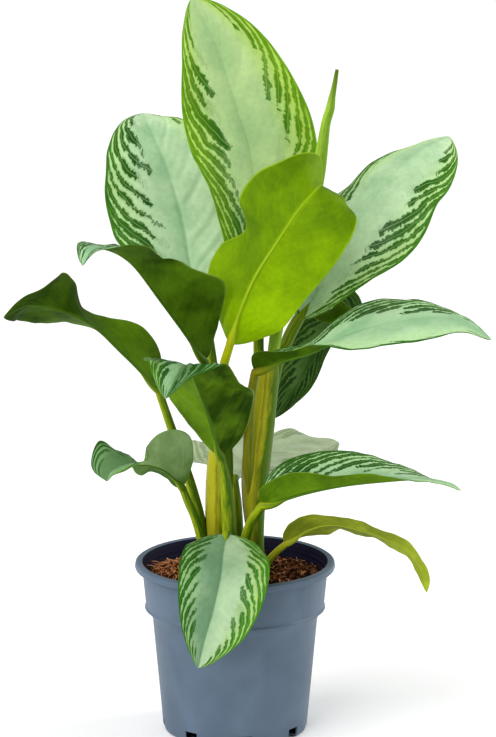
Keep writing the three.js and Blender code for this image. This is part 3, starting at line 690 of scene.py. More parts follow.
def waxy_skin(add, shader, place, veins, gloss_level=0.18, smoothest=0.38):
    """Gloss and fine relief of a leaf's skin: veins pressed in a little, and a fine uneven grain."""
    grain = add("ShaderNodeTexNoise", {"Vector": place, "Scale": 1 / LEAF_GRAIN, "Detail": 2.0})
    gloss = add("ShaderNodeMapRange", {"Value": grain, "To Min": smoothest, "To Max": smoothest + 0.17})
    relief = add("ShaderNodeMath", {0: veins, 1: -0.5, 2: grain}, operation="MULTIPLY_ADD")
    bump = add("ShaderNodeBump", {"Height": relief, "Strength": 0.2, "Distance": 0.1 * MM})
    seen_through = {"Subsurface Weight": 0.1, "Subsurface Radius": GLOW_REACH, "Subsurface Scale": 1.0}
    wax = {"Roughness": gloss, "IOR": 1.4, "Specular IOR Level": gloss_level}
    feed(shader, {"Normal": bump, **wax, **seen_through})


def plain_leaf(name, deep, light, vein, edge, patches=0.25, vein_strength=0.14):
    """A leaf side without silver: a green skin in soft patches, swelling between paler lateral veins.

    Its fine margin is paler too, and each half is painted lighter or darker by its tone, as painted light and
    shade.
    """
    material, add, shader = new_material(name)
    flow, _, share = blade_flow(add)
    place = add("ShaderNodeTexCoord").outputs["Object"]
    cloudy = soft_patches(add, place, PLAIN_CLOUD, 2.0, patches)
    # painted light and shade: the half's tone, lighter where light falls and darker in shade
    tone = add("ShaderNodeAttribute", attribute_name="tone").outputs["Fac"]
    lit = add("ShaderNodeMath", {0: tone, 1: cloudy}, operation="ADD", use_clamp=True)
    shade = add("ShaderNodeMix", {"Factor": lit, "A": colour(deep), "B": colour(light)}, data_type="RGBA")
    veins = vein_lines(add, flow[0], 0.1)
    faint = add("ShaderNodeMath", {0: veins, 1: vein_strength}, operation="MULTIPLY")
    rib = add(
        "ShaderNodeMapRange",
        {"Value": share, "From Min": 0.01, "From Max": 0.06, "To Min": 0.4, "To Max": 0.0},
    )
    paler = add("ShaderNodeMath", {0: faint, 1: rib}, operation="MAXIMUM")
    veined = add("ShaderNodeMix", {"Factor": paler, "A": shade, "B": colour(vein)}, data_type="RGBA")
    veined = mottled(add, place, veined, 0.9, 1.08)
    margin = add(
        "ShaderNodeMapRange", {"Value": share, "From Min": 0.965, "From Max": 0.985, "To Max": 0.6}
    )
    edged = add("ShaderNodeMix", {"Factor": margin, "A": veined, "B": colour(edge)}, data_type="RGBA")
    feed(shader, {"Base Color": edged})
    waxy_skin(add, shader, place, veins, 0.07, 0.5)
    return material


def stalk_skin(name, pale, green, brown, midrib, paling=0.0, painted_side_light=0.26):
    """Skin of petioles and sheaths: smooth and taut, striped lengthways where fibres lie under it.

    One sheath is paler than the next, each is browner at its tucked-in edge, a stem grows paler with each
    metre by its paling, and a petiole takes its midrib's colour on the blade. Its lit side is painted paler
    and its shaded side greener, as painted light and shade.
    """
    material, add, shader = new_material(name)
    round_at = add("ShaderNodeAttribute", attribute_name="round").outputs["Vector"]
    tone, lap, onto, shady = (
        add("ShaderNodeAttribute", attribute_name=name).outputs["Fac"]
        for name in ("tone", "lap", "onto_blade", "shady")
    )
    place = add("ShaderNodeTexCoord").outputs["Object"]
    stretched = add(
        "ShaderNodeVectorMath", {0: round_at, 1: (1.0, 1.0, 1 / STALK_STRIPE)}, operation="MULTIPLY"
    )
    stripes = add(
        "ShaderNodeTexNoise", {"Vector": stretched, "Scale": 2.2, "Detail": 4.0, "Roughness": 0.6}
    )
    banded = add("ShaderNodeMath", {0: tone, 1: 0.35, 2: stripes}, operation="MULTIPLY_ADD")
    # painted light and shade: paler on the lit side and greener on the other, by the normal's side
    turned = add("ShaderNodeMath", {0: shady, 1: painted_side_light, 2: banded}, operation="MULTIPLY_ADD")
    run = add("ShaderNodeSeparateXYZ", {0: round_at}).outputs[2]
    grown = add("ShaderNodeMath", {0: run, 1: -paling, 2: turned}, operation="MULTIPLY_ADD")
    low = 0.48 - 0.1 * paling
    shade = add("ShaderNodeMapRange", {"Value": grown, "From Min": low, "From Max": low + 0.4})
    skin = add("ShaderNodeMix", {"Factor": shade, "A": colour(pale), "B": colour(green)}, data_type="RGBA")
    specks = add(
        "ShaderNodeTexNoise", {"Vector": place, "Scale": 1 / STALK_STAIN, "Detail": 5.0, "Roughness": 0.7}
    )
    stain = add("ShaderNodeMapRange", {"Value": specks, "From Min": 0.55, "From Max": 0.75, "To Max": 0.45})
    tucked = add("ShaderNodeMapRange", {"Value": lap, "From Min": 0.22, "From Max": 0.0, "To Max": 0.55})
    browned = add("ShaderNodeMath", {0: stain, 1: tucked}, operation="MAXIMUM")
    stained = add("ShaderNodeMix", {"Factor": browned, "A": skin, "B": colour(brown)}, data_type="RGBA")
    joined = add("ShaderNodeMix", {"Factor": onto, "A": stained, "B": colour(midrib)}, data_type="RGBA")
    bump = add("ShaderNodeBump", {"Height": stripes, "Strength": 0.3, "Distance": 0.3 * MM})
    taut = {"Roughness": 0.42, "IOR": 1.45, "Specular IOR Level": 0.12}
    feed(shader, {"Base Color": joined, "Normal": bump, **taut})
    return material


def moulded_plastic(name, base, light, roughness, gloss_level):
    """Injection-moulded polypropylene: matt and finely grained, faintly cloudy where the melt flowed."""
    material, add, shader = new_material(name)
    place = add("ShaderNodeTexCoord").outputs["Object"]
    flow = add(
        "ShaderNodeTexNoise", {"Vector": place, "Scale": 1 / MELT_FLOW, "Detail": 4.0, "Distortion": 0.6}
    )
    tone = add("ShaderNodeMapRange", {"Value": flow, "From Min": 0.3, "From Max": 0.7})
    skin = add("ShaderNodeMix", {"Factor": tone, "A": colour(base), "B": colour(light)}, data_type="RGBA")
    grain = add("ShaderNodeTexNoise", {"Vector": place, "Scale": 1 / MOULD_GRAIN, "Detail": 2.0})
    bump = add("ShaderNodeBump", {"Height": grain, "Strength": 0.15, "Distance": 0.1 * MM})
    matt = {"Roughness": roughness, "IOR": 1.49, "Specular IOR Level": gloss_level}
    feed(shader, {"Base Color": skin, "Normal": bump, **matt})
    return material


def coir(name, dark, mid, light):
    """Coir and peat: dry, ragged and dull, painted red-brown towards the left, where light falls, and nearly
    black towards the right, as painted light and shade, in damp and dry patches.
    """
    material, add, shader = new_material(name)
    place = add("ShaderNodeTexCoord").outputs["Object"]
    crumbs = add(
        "ShaderNodeTexNoise", {"Vector": place, "Scale": 1 / COIR_CRUMB, "Detail": 6.0, "Roughness": 0.75}
    )
    along_x = add("ShaderNodeSeparateXYZ", {0: place})
    # painted light and shade: lighter towards the left, where light falls, and darker towards the right
    painted_light_leftward = add(
        "ShaderNodeMapRange",
        {"Value": along_x, "From Min": -35 * MM, "From Max": 15 * MM, "To Min": 0.85, "To Max": 0.2},
    )
    patchy = soft_patches(add, place, DAMP_PATCH, 3.0, 0.7)
    level = add("ShaderNodeMath", {0: painted_light_leftward, 1: patchy}, operation="ADD", use_clamp=True)
    base = add("ShaderNodeMix", {"Factor": level, "A": colour(dark), "B": colour(mid)}, data_type="RGBA")
    flecks = add("ShaderNodeMapRange", {"Value": crumbs, "From Min": 0.46, "From Max": 0.62})
    fleck_share = add("ShaderNodeMath", {0: flecks, 1: level}, operation="MULTIPLY")
    skin = add("ShaderNodeMix", {"Factor": fleck_share, "A": base, "B": colour(light)}, data_type="RGBA")
    bump = add("ShaderNodeBump", {"Height": crumbs, "Strength": 0.7, "Distance": 1.0 * MM})
    feed(shader, {"Base Color": skin, "Normal": bump, "Roughness": 0.95, "Specular IOR Level": 0.1})
    return material


FINISH = {
    # satin leaf with silver-green fields, and dark streaks that follow its veins
    "silver": variegated_leaf(
        "variegated_leaf_upper", 0x86AE82, 0xB8D4A8, 0xA9CCA0, 0xAED07E, 0x1A4E06, 0x3F7A08, 0x74A264
    ),
    # painted light: the same skin painted lighter and limier, as in full light, most of all towards its
    # margins
    "silver_high": variegated_leaf(
        "highest_leaf_upper", 0x8FB47A, 0xB2CE8C, 0xB4D496, 0xA6C638, 0x286406, 0x6A9C02, 0x86B060
    ),
    # greyer and more even, near the pot
    "silver_low": variegated_leaf(
        "lowest_leaf_upper", 0x6A8F6A, 0xA0BA92, 0x86AE72, 0x98B866, 0x1E5608, 0x3E7C0C, 0x688E5E
    ),
    # painted shade: the same skin painted darker and with less contrast, for a leaf in the shade of others
    "dim": variegated_leaf(
        "dim_leaf_upper", 0x567A4A, 0x82A878, 0x6E9662, 0x86AC60, 0x1C4E08, 0x3C7408, 0x4C7640
    ),
    # painted shade: the same skin painted green almost throughout, for a leaf whose upper side lies in deep
    # shade
    "shaded": variegated_leaf(
        "shaded_leaf_upper", 0x2A4E0C, 0x567A38, 0x406414, 0x4E7020, 0x163806, 0x285406, 0x2C5010
    ),
    # oldest leaf, washed out to a milky grey-green
    "faded": variegated_leaf(
        "faded_leaf_upper", 0x96A682, 0xB6C4A4, 0xA8B694, 0xACBA92, 0x8EA07A, 0x9AAA82, 0xA0B08A
    ),
    # deep olive green, dull and leathery
    "under_dark": plain_leaf("mature_leaf_underside", 0x243F00, 0x567A0C, 0x5C7E1C, 0x7C9440),
    # the same, in stronger soft patches
    "under_quilted": plain_leaf("quilted_leaf_underside", 0x243F00, 0x5E8212, 0x5C7E1C, 0x7C9440, 0.4),
    # painted sheen: greyer, standing in for the white surroundings' soft reflection on the underside
    "under_grey": plain_leaf("sheen_painted_leaf_underside", 0x3E651A, 0x84A068, 0x8CA874, 0x6F9448),
    # painted light: paler, standing in for light that shines through the silver of the other side
    "under_pale": plain_leaf("silver_leaf_underside", 0x4C6C20, 0x7A9850, 0x88A45C, 0x96AE68),
    # thin and bright yellow-green, because it hasn't hardened yet
    "young": plain_leaf("young_leaf", 0x476900, 0x86AC00, 0x90B606, 0x9CBE20, 0.16, 0.1),
    # losing its green from the tip
    "old": plain_leaf("yellowing_leaf", 0x566410, 0x94A22A, 0xA0AC3A, 0xA8B03C),
    # petioles: juicy and taut, with a soft shine along their length
    "petiole": stalk_skin("petiole_skin", 0x9CAC16, 0x385C02, 0x5E6A10, 0x3E6404),
    "petiole_olive": stalk_skin("olive_petiole_skin", 0x94901A, 0x5E6808, 0x6A5A10, 0x3E6404),
    "petiole_old": stalk_skin("yellowing_petiole_skin", 0xA8AC22, 0x7A8810, 0x6A5A10, 0x8A9A24),
    "petiole_young": stalk_skin("young_petiole_skin", 0xC4C612, 0x9CAE06, 0xA4A010, 0x94B018),
    # rolled leaf: its underside, with a brown dry point
    "rolled": stalk_skin("rolled_leaf_skin", 0x9CBC40, 0x68901A, 0x6A7C1C, 0x50660E),
    # leaf sheaths: papery, yellow painted on the lit side and green on the shaded one as painted light and
    # shade, brown where they tuck in
    "sheath": stalk_skin("stem_sheath_skin", 0xB0AE20, 0x466602, 0x64520C, 0x6F8C14, 1.5, 0.85),
    # matt grey-blue plastic
    "pot": moulded_plastic("grey_blue_polypropylene", 0x475869, 0x556678, 0.5, 0.3),
    # painted shade: the same plastic, painted nearly indigo-black on the inside, where shade falls
    "pot_inside": moulded_plastic("shade_painted_polypropylene", 0x14132A, 0x1C1B36, 0.6, 0.1),
    # firm bed, damp and dark with dry red-brown crusts, painted lighter towards the left, where light falls
    "soil": coir("coir_bed_soil", 0x120602, 0x5E3014, 0xB8784A),
    # dry husk fibres, that catch the light
    "fibre": coir("coir_fibres", 0x381806, 0xA45C2E, 0xE4B486),
    # near-black peat
    "crumb": coir("peat_crumbs", 0x0C0502, 0x34180A, 0x7C4824),
}

# ---- leaves ---------------------------------------------------------------------------------

BLADE_STEPS = 140  # along the midrib
HALF_STEPS = 32  # from the midrib to a margin
BLADE_THICKNESS = 0.7  # these lengths and heights are in mm
VEIN_LEAN = 0.22  # how far, in shares of the length, a lateral vein runs before it nears the margin
VEIN_END = 1.16  # share of the half width that the veins would reach if they went on
STREAK_SHARE = 0.085  # between neighbouring streaks, in shares of the midrib's length
VEIN_DEPTH = 0.08
VEIN_HALF = 0.12  # of a vein's groove, in shares of the veins' spacing
CHANNEL_DEPTH = 0.6  # of the groove over the midrib
CHANNEL_HALF = 1.6  # half of its width
SWELL_PITCHES = (11, 19, 31)  # lengths of the waves that make up the swellings, in mm
RIPPLE_HEIGHT = 0.5
RIPPLE_COUNTS = (5, 8, 13)  # waves of the margin's fine ripples along the blade
MARGIN_POWER = 10  # how late the blade thins out towards its margin
END_SHARE = 0.01  # share of the length over which a blade thins out at its ends
ENDS_CLOSER = 0.11  # how much closer the rows stand at the base and the tip
SIDES_CLOSER = 0.05

# For each leaf:
#   skins: the finishes of its upper side and its underside
#   swelling: height of the swellings between its veins, in mm
#   light: painted light and shade, how light the left and the right half are painted for the light that falls
#       on them, from base to tip
#   streaks: the share of the left and the right half where the streaks begin, from base to tip
EVEN = ([0.5], [0.5])
LOOKS = {
    "leaf_top": {
        "skins": ("silver_high", "under_pale"),
        "swelling": 0.5,
        "light": ([0.8, 0.7], [0.85]),
        "streaks": ([0.3, 0.3, 0.4, 0.42, 0.5], [0.5, 0.48, 0.45, 0.6, 0.7]),
    },
    "leaf_left_back": {
        "skins": ("silver", "under_pale"),
        "swelling": 0.8,
        "light": ([0.65], [0.95]),
        "streaks": ([0.4, 0.36, 0.28, 0.35], [0.75, 0.6, 0.85, 0.6]),
    },
    "leaf_right_high": {
        "skins": ("silver", "under_pale"),
        "swelling": 0.35,
        "light": ([0.65], [0.95, 0.85, 0.8, 1.0]),
        "streaks": ([0.2, 0.35, 0.7, 0.85], [0.5, 0.4, 0.4, 0.6]),
    },
    "leaf_young": {
        "skins": ("young", "young"),
        "swelling": 0.3,
        "light": ([1.2, 0.85, 0.6, 0.25, 0.25], [1.1, 0.45, 0.25, 0.25, 0.2]),
        "streaks": EVEN,
    },
    "leaf_left_upper": {
        "skins": ("silver", "under_dark"),
        "swelling": 0.5,
        "light": ([0.35, 0.3, 0.1], [0.5, 0.4, 0.1]),
        "streaks": ([0.2], [0.2]),
    },
    "leaf_left_low": {
        "skins": ("silver", "under_dark"),
        "swelling": 0.4,
        "light": ([0.6, 0.9, 0.5, 0.2, 0.1], [0.6, 0.9, 0.5, 0.2, 0.1]),
        "streaks": EVEN,
    },
    "leaf_front_mid": {
        "skins": ("dim", "under_quilted"),
        "swelling": 1.4,
        "light": ([0.15, 0.25, 0.1], [0.8, 1.0, 1.1]),
        "streaks": ([0.2], [0.2]),
    },
    "leaf_left_small": {
        "skins": ("dim", "under_grey"),
        "swelling": 0.3,
        "light": ([0.15, 0.8, 0.95, 0.9, 0.9], [0.1]),
        "streaks": EVEN,
    },
    "leaf_right_mid": {
        "skins": ("silver", "under_dark"),
        "swelling": 0.35,
        "light": ([0.38], [0.3]),
        "streaks": ([0.35, 0.35, 0.33, 0.4], [0.85, 0.85, 0.75]),
    },
    "leaf_right_back": {
        "skins": ("shaded", "under_dark"),
        "swelling": 0.5,
        "light": ([0.5], [0.7]),
        "streaks": ([0.2], [0.2]),
    },
    "leaf_right_low": {
        "skins": ("silver", "under_dark"),
        "swelling": 0.35,
        "light": ([0.4], [0.7]),
        "streaks": ([0.2, 0.25, 0.45, 0.7], [0.7]),
    },
    "leaf_right_yellow": {
        "skins": ("old", "old"),
        "swelling": 0.3,
        "light": ([0.4, 0.5, 0.9], [0.4, 0.6, 1.0]),
        "streaks": EVEN,
    },
    "leaf_front": {
        "skins": ("silver_low", "under_pale"),
        "swelling": 0.35,
        "light": ([0.95], [0.15]),
        "streaks": ([0.5, 0.5, 0.5, 0.35], [0.5, 0.4, 0.5, 0.45]),
    },
    "leaf_back": {"skins": ("faded", "faded"), "swelling": 1.6, "light": ([0.5], [0.6]), "streaks": EVEN},
}


def midrib_frame(leaf, t):
    """A midrib's places, directions, and which way the upper side looks, at shares t of its length."""
    centre = smooth_route(leaf["rib"], t)
    tangent = unit(np.gradient(centre, axis=0))
    up = along(leaf["faces"], t)
    return centre, tangent, unit(up - (up * tangent).sum(-1, keepdims=True) * tangent)


def blade_places_at(leaf, t, v):
    """Middle surface of a blade, in mm, at shares t along the midrib and v from -1 to 1 across it."""
    centre, tangent, up = midrib_frame(leaf, t)
    side = np.cross(tangent, up)
    half = np.maximum(leaf["half"] * outline(t), TIP_HALF)[:, None]
    reach = np.abs(v)[None, :]
    left = (v < 0)[None, :]

    def either(name, default):
        """A list of the left or the right half, read along the blade."""
        sides = [along(leaf.get(f"{name}_{s}", default), t)[:, None] for s in ("left", "right")]
        return np.where(left, *sides)

    fold = either("fold", [0])
    angle = np.radians(fold + leaf.get("curl", BLADE_CURL) * reach / 2)
    distance = reach * half * either("spread", [1])
    height, count, start = leaf["wave"]
    phase = count * t[:, None] + start + np.where(left, 0, WAVE_LAG)
    fade = np.minimum(1, 1.5 * half / leaf["half"])  # no waves where the blade is narrow
    lift = height * reach**2 * np.sin(2 * np.pi * phase) * fade
    sideways = (np.sign(v)[None, :] * distance * np.cos(angle))[..., None] * side[:, None]
    upward = (distance * np.sin(angle) + lift)[..., None] * up[:, None]
    return centre[:, None] + sideways + upward, distance


def grid_normals(places):
    """Unit normals of a grid of places, towards the upper side."""
    return unit(np.cross(np.gradient(places, axis=1), np.gradient(places, axis=0)))


def blade_relief(leaf, t, v, distance, number, swelling):
    """Height of the fine relief over the middle surface, and the lateral veins' count, in mm."""
    length = route_length(leaf["rib"])
    reach = np.abs(v)[None, :]
    right = (v > 0)[None, :]
    count = t[:, None] * length + VEIN_LEAN * length * np.log((VEIN_END - reach) / VEIN_END)
    spacing = VEIN_SPACING / MM
    nearest = np.abs(count / spacing - np.round(count / spacing))
    body = step_up(reach, 0.03, 0.15) * (1 - step_up(reach, 0.7, 0.95))
    tips = step_up(t, 0.0, 0.1)[:, None] * (1 - step_up(t, 0.85, 1.0))[:, None]
    rng = np.random.default_rng(SEED + number)

    def swells(at, cycles):
        """Waves of several lengths that start anywhere, and not alike on the two halves."""
        total = 0
        for n in cycles:
            start = np.where(right, *rng.uniform(0, 1, 2))
            total = total + np.sin(2 * np.pi * (n * at + start)) / len(cycles)
        return total

    veins = -VEIN_DEPTH * np.exp(-((nearest / VEIN_HALF) ** 2))
    quilt = swelling * swells(count, [1 / pitch for pitch in SWELL_PITCHES])
    channel = -CHANNEL_DEPTH * np.exp(-((distance / CHANNEL_HALF) ** 2)) * (1 - t[:, None])
    ripple = RIPPLE_HEIGHT * swells(t[:, None], RIPPLE_COUNTS) * reach**4
    return (veins + quilt) * body * tips + channel + ripple * tips, count


def make_blade(name, leaf, number):
    """A leaf's blade as one closed thin solid: two skins that meet at a fine margin."""
    look = LOOKS[name]
    x = np.linspace(0, 1, BLADE_STEPS + 1)
    t = x - ENDS_CLOSER * np.sin(2 * np.pi * x)
    y = np.linspace(0, 1, HALF_STEPS + 1)
    share = y - SIDES_CLOSER * np.sin(2 * np.pi * y)
    v = np.concatenate([-share[:0:-1], share])
    middle, distance = blade_places_at(leaf, t, v)
    relief, count = blade_relief(leaf, t, v, distance, number, look["swelling"])
    middle = middle + relief[..., None] * grid_normals(middle)
    normals = grid_normals(middle)
    thick = BLADE_THICKNESS / 2 * np.sqrt(1 - np.abs(v) ** MARGIN_POWER)
    ends = np.minimum(1, np.minimum(t, 1 - t) / END_SHARE)
    offset = (ends[:, None] * thick[None, :])[..., None] * normals
    rows, columns = distance.shape
    border = np.zeros((rows, columns), bool)
    border[[0, -1]] = True
    border[:, [0, -1]] = True
    upper = np.arange(rows * columns).reshape(rows, columns)
    lower = upper.copy()
    lower[~border] = rows * columns + np.arange((~border).sum())
    places = np.vstack([(middle + offset).reshape(-1, 3), (middle - offset)[~border]]) * MM

    def quads(at):
        """The grid's faces, facing the upper side."""
        corners = [at[:-1, :-1], at[:-1, 1:], at[1:, 1:], at[1:, :-1]]
        return np.stack([c.ravel() for c in corners], axis=-1)

    faces = np.vstack([quads(upper), quads(lower)[:, ::-1]])
    piece = mesh_object(f"{name}_blade", places, faces.tolist())

    def both(values):
        """Values of the upper skin's points and then of the lower skin's own."""
        values = np.broadcast_to(values, (rows, columns))
        return np.concatenate([values.ravel(), values[~border]])

    length = route_length(leaf["rib"])
    numbers = both(np.full((rows, columns), APART * number))
    outward = both(t[:, None] * length + distance)
    store(piece, "flow", np.stack([both(count * MM), outward * MM, numbers], axis=-1))
    store(piece, "across", both(v[None, :]))
    store(piece, "bands", both(count / (STREAK_SHARE * length)))
    store(piece, "streaks", both(np.where(v < 0, *(along(shares, t)[:, None] for shares in look["streaks"]))))
    # painted light and shade: each half's tone, lighter on a lit half and darker on a shaded one
    left_tone, right_tone = (along(shares, t)[:, None] for shares in look["light"])
    store(piece, "tone", both(left_tone + (right_tone - left_tone) * step_up(v, -0.03, 0.03)[None, :]))
    for skin in look["skins"]:
        piece.data.materials.append(FINISH[skin])
    sides = np.repeat([0, 1], (rows - 1) * (columns - 1)).astype(np.int32)
    piece.data.polygons.foreach_set("material_index", sides)
    return piece


# ---- round pieces: petioles with their midribs, stems and the rolled leaf -------------------

PETIOLE_FINISH = {
    "leaf_young": "petiole_young",
    "leaf_right_mid": "petiole_olive",
    "leaf_right_yellow": "petiole_old",
}
PETIOLE_STEPS = 40
RIB_STEPS = 70
FOOT_NARROWS = 0.35  # a petiole's foot against its full radius, where a sheath hides it
RIB_NARROWS = 0.3  # the midrib's ridge against the petiole, just past the blade's base
RIB_NARROW_BY = 0.14  # share of the blade where the ridge has narrowed
RIB_END = 0.8  # share of the blade where the ridge runs out
RIB_TIP = 0.2  # radius that the ridge keeps there, in mm
RIB_SUNK = 1.1  # how deep the ridge's middle lies under the blade, in radii
ONTO_BLADE = 30 * MM  # length over which a petiole takes its midrib's colour

PETIOLE = {"Sides": 20, "Laps": 1.0, "Lap Step": 0.0}
SHEATHS = {"Sides": 96, "Laps": 4.0, "Lap Step": 1.1 * MM, "Twist": 1.5}
ROLLED = {"Sides": 64, "Laps": 1.0, "Lap Step": 0.9 * MM, "Twist": 3.0}
FIRST_LAP = {"stem_left": 0.0, "stem_right": 1.88}  # which sheath each stem turns to the front
STEM_STEPS = 90
ROLLED_STEPS = 120
KNOB_AT = 0.88  # share of the rolled leaf's length where its outer edge ends
KNOB_HEIGHT = 1.1
KNOB_SPREAD = 0.03  # share of the length that the knob takes to fade


def stalk_tree():
    """Geometry nodes that sweep a round section along a curve, as wide as the curve's radius.

    The section is wrapped in laps like leaf sheaths, each standing a step above the next.
    """
    number = ("Float", 0.0)
    inputs = {"Sides": ("Int", 24), "Laps": ("Float", 1), "Lap Step": number, "First Lap": number}
    inputs |= {"Twist": number, "Stalk Length": ("Float", 1.0), "Skin": ("Material", None)}
    tree, add, given = new_tree("swept_stalk", inputs)
    spline = add("GeometryNodeSplineParameter").outputs
    ring = add("GeometryNodeCurvePrimitiveCircle", {"Resolution": given["Sides"], "Radius": 1.0})
    along_path = {"Geometry": given["Geometry"], "Name": "run", "Value": spline["Length"]}
    path = add("GeometryNodeStoreNamedAttribute", along_path, data_type="FLOAT")
    round_ring = {"Geometry": ring, "Name": "turn", "Value": spline["Factor"]}
    ring = add("GeometryNodeStoreNamedAttribute", round_ring, data_type="FLOAT")
    radius = add("GeometryNodeInputRadius")
    sweep = {"Curve": path, "Profile Curve": ring, "Scale": radius, "Fill Caps": True}
    swept = add("GeometryNodeCurveToMesh", sweep)
    turn = add("GeometryNodeInputNamedAttribute", {"Name": "turn"}, data_type="FLOAT")
    run = add("GeometryNodeInputNamedAttribute", {"Name": "run"}, data_type="FLOAT")
    wound = {0: run, 1: given["Twist"], 2: given["First Lap"]}
    wound = add("ShaderNodeMath", wound, operation="MULTIPLY_ADD")
    wrap = add("ShaderNodeMath", {0: turn, 1: given["Laps"], 2: wound}, operation="MULTIPLY_ADD")
    lap = add("ShaderNodeMath", {0: wrap}, operation="FRACT")
    lap_number = add("ShaderNodeMath", {0: wrap}, operation="FLOOR")
    which = add("ShaderNodeMath", {0: lap_number, 1: given["Laps"]}, operation="FLOORED_MODULO")
    tone = add("FunctionNodeRandomValue", {"ID": which, "Seed": SEED}, data_type="FLOAT")
    angle = add("ShaderNodeMath", {0: turn, 1: 2 * math.pi}, operation="MULTIPLY")
    cosine = add("ShaderNodeMath", {0: angle}, operation="COSINE")
    sine = add("ShaderNodeMath", {0: angle}, operation="SINE")
    round_at = add("ShaderNodeCombineXYZ", {0: cosine, 1: sine, 2: run})
    far = add("ShaderNodeMath", {0: given["Stalk Length"], 1: ONTO_BLADE}, operation="ADD")
    onto = add("ShaderNodeMapRange", {"Value": run, "From Min": given["Stalk Length"], "From Max": far})
    normal = add("GeometryNodeInputNormal")
    kept = swept
    for name, kind, value in (
        ("round", "FLOAT_VECTOR", round_at),
        ("lap", "FLOAT", lap),
        ("tone", "FLOAT", tone),
        ("onto_blade", "FLOAT", onto),
        # painted light: the normal's x, so that a stalk's lit left side can be painted paler
        ("shady", "FLOAT", add("ShaderNodeSeparateXYZ", {0: normal})),
    ):
        carried = {"Geometry": kept, "Name": name, "Value": value}
        kept = add("GeometryNodeStoreNamedAttribute", carried, data_type=kind)
    lap_again = add("GeometryNodeInputNamedAttribute", {"Name": "lap"}, data_type="FLOAT")
    height = add("ShaderNodeMath", {0: lap_again, 1: given["Lap Step"]}, operation="MULTIPLY")
    offset = add("ShaderNodeVectorMath", {0: normal, "Scale": height}, operation="SCALE")
    lapped = add("GeometryNodeSetPosition", {"Geometry": kept, "Offset": offset})
    smooth = add("GeometryNodeSetShadeSmooth", {"Geometry": lapped})
    made = add("GeometryNodeRealizeInstances", {"Geometry": smooth})
    skin = add("GeometryNodeSetMaterial", {"Geometry": made, "Material": given["Skin"]})
    add("NodeGroupOutput", {0: skin})
    return tree


def curve_object(name, places, radii):
    """A curve object with one straight-segment spline through places, in mm, as thick as radii."""
    curve = bpy.data.curves.new(name, "CURVE")
    curve.dimensions = "3D"
    spline = curve.splines.new("POLY")
    spline.points.add(len(places) - 1)
    for point, place, radius in zip(spline.points, np.array(places) * MM, np.array(radii) * MM):
        point.co = (*place, 1)
        point.radius = radius
    return new_object(name, curve)


def make_petiole(name, leaf):
    """The petiole, and the midrib that it goes on into, sunk under the blade as its ridge."""
    stalk = leaf["stalk"] + [leaf["rib"][0]]
    steps = np.linspace(0, 1, PETIOLE_STEPS)
    places = smooth_route(stalk, steps)
    radii = along(leaf["thick"], steps) * (FOOT_NARROWS + (1 - FOOT_NARROWS) * step_up(steps, 0, 0.25))
    t = np.linspace(0, RIB_END, RIB_STEPS)[1:]
    centre, _, up = midrib_frame(leaf, t)
    taper = RIB_NARROWS + (1 - RIB_NARROWS) * (1 - step_up(t, 0, RIB_NARROW_BY))
    ridge = leaf["thick"][-1] * taper * (1 - t / RIB_END) ** 0.9 + RIB_TIP
    channel = CHANNEL_DEPTH * (1 - t) * step_up(t, 0, 0.1)
    sunk = ridge * step_up(t, -0.02, 0.1) * RIB_SUNK + channel
    places = np.vstack([places, centre - sunk[:, None] * up])
    piece = curve_object(f"{name}_petiole", places, np.concatenate([radii, ridge]))
    skin = FINISH[PETIOLE_FINISH.get(name, "petiole")]
    return run_nodes(piece, STALKS, {**PETIOLE, "Stalk Length": route_length(stalk) * MM, "Skin": skin})


def make_stem(name, stem):
    """A stem in its wrapped leaf sheaths."""
    steps = np.linspace(0, 1, STEM_STEPS)
    piece = curve_object(f"{name}_sheaths", smooth_route(stem["route"], steps), along(stem["radii"], steps))
    return run_nodes(piece, STALKS, {**SHEATHS, "First Lap": FIRST_LAP[name], "Skin": FINISH["sheath"]})


def make_rolled_leaf(name):
    """The newest leaf, still rolled, with the knob where its outer edge ends and a dry brown point."""
    steps = np.linspace(0, 1, ROLLED_STEPS)
    knob = KNOB_HEIGHT * np.exp(-(((steps - KNOB_AT) / KNOB_SPREAD) ** 2))
    places = smooth_route(SPEAR["route"], steps)
    places[:, 0] += knob
    piece = curve_object(name, places, along(SPEAR["radii"], steps) + knob / 2)
    green_length = KNOB_AT * route_length(SPEAR["route"]) * MM
    return run_nodes(piece, STALKS, {**ROLLED, "Stalk Length": green_length, "Skin": FINISH["rolled"]})


STALKS = stalk_tree()

for number, (node, leaf) in enumerate(LEAVES.items(), start=1):
    finish_piece(make_blade(node, leaf, number), node)
    finish_piece(make_petiole(node, leaf), node)
for node, stem in STEMS.items():
    finish_piece(make_stem(node, stem), node)
finish_piece(make_rolled_leaf("leaf_rolled_sheet"), "leaf_rolled")

# ---- pot and soil ---------------------------------------------------------------------------


def lathe_places(profile, columns):
    """Places in metres of a profile of radius and height, in mm, turned round the upright axis."""
    turns = np.arange(columns) * 2 * np.pi / columns
    profile = np.array(profile, float)
    x = profile[:, :1] * np.cos(turns)
    y = profile[:, :1] * np.sin(turns)
    z = np.repeat(profile[:, 1:], columns, axis=1)
    return np.stack([x, y, z], axis=-1).reshape(-1, 3) * MM


def lathe_object(name, places, columns):
    """A closed mesh of rows of places round the upright axis, with a lid on its first and its last row."""
    grid = np.arange(len(places)).reshape(-1, columns)
    after = np.roll(grid, -1, axis=1)
    quads = np.stack([grid[:-1], after[:-1], after[1:], grid[1:]], axis=-1).reshape(-1, 4)
    lids = [grid[0, ::-1].tolist(), grid[-1].tolist()]
    return mesh_object(name, places, quads.tolist() + lids)


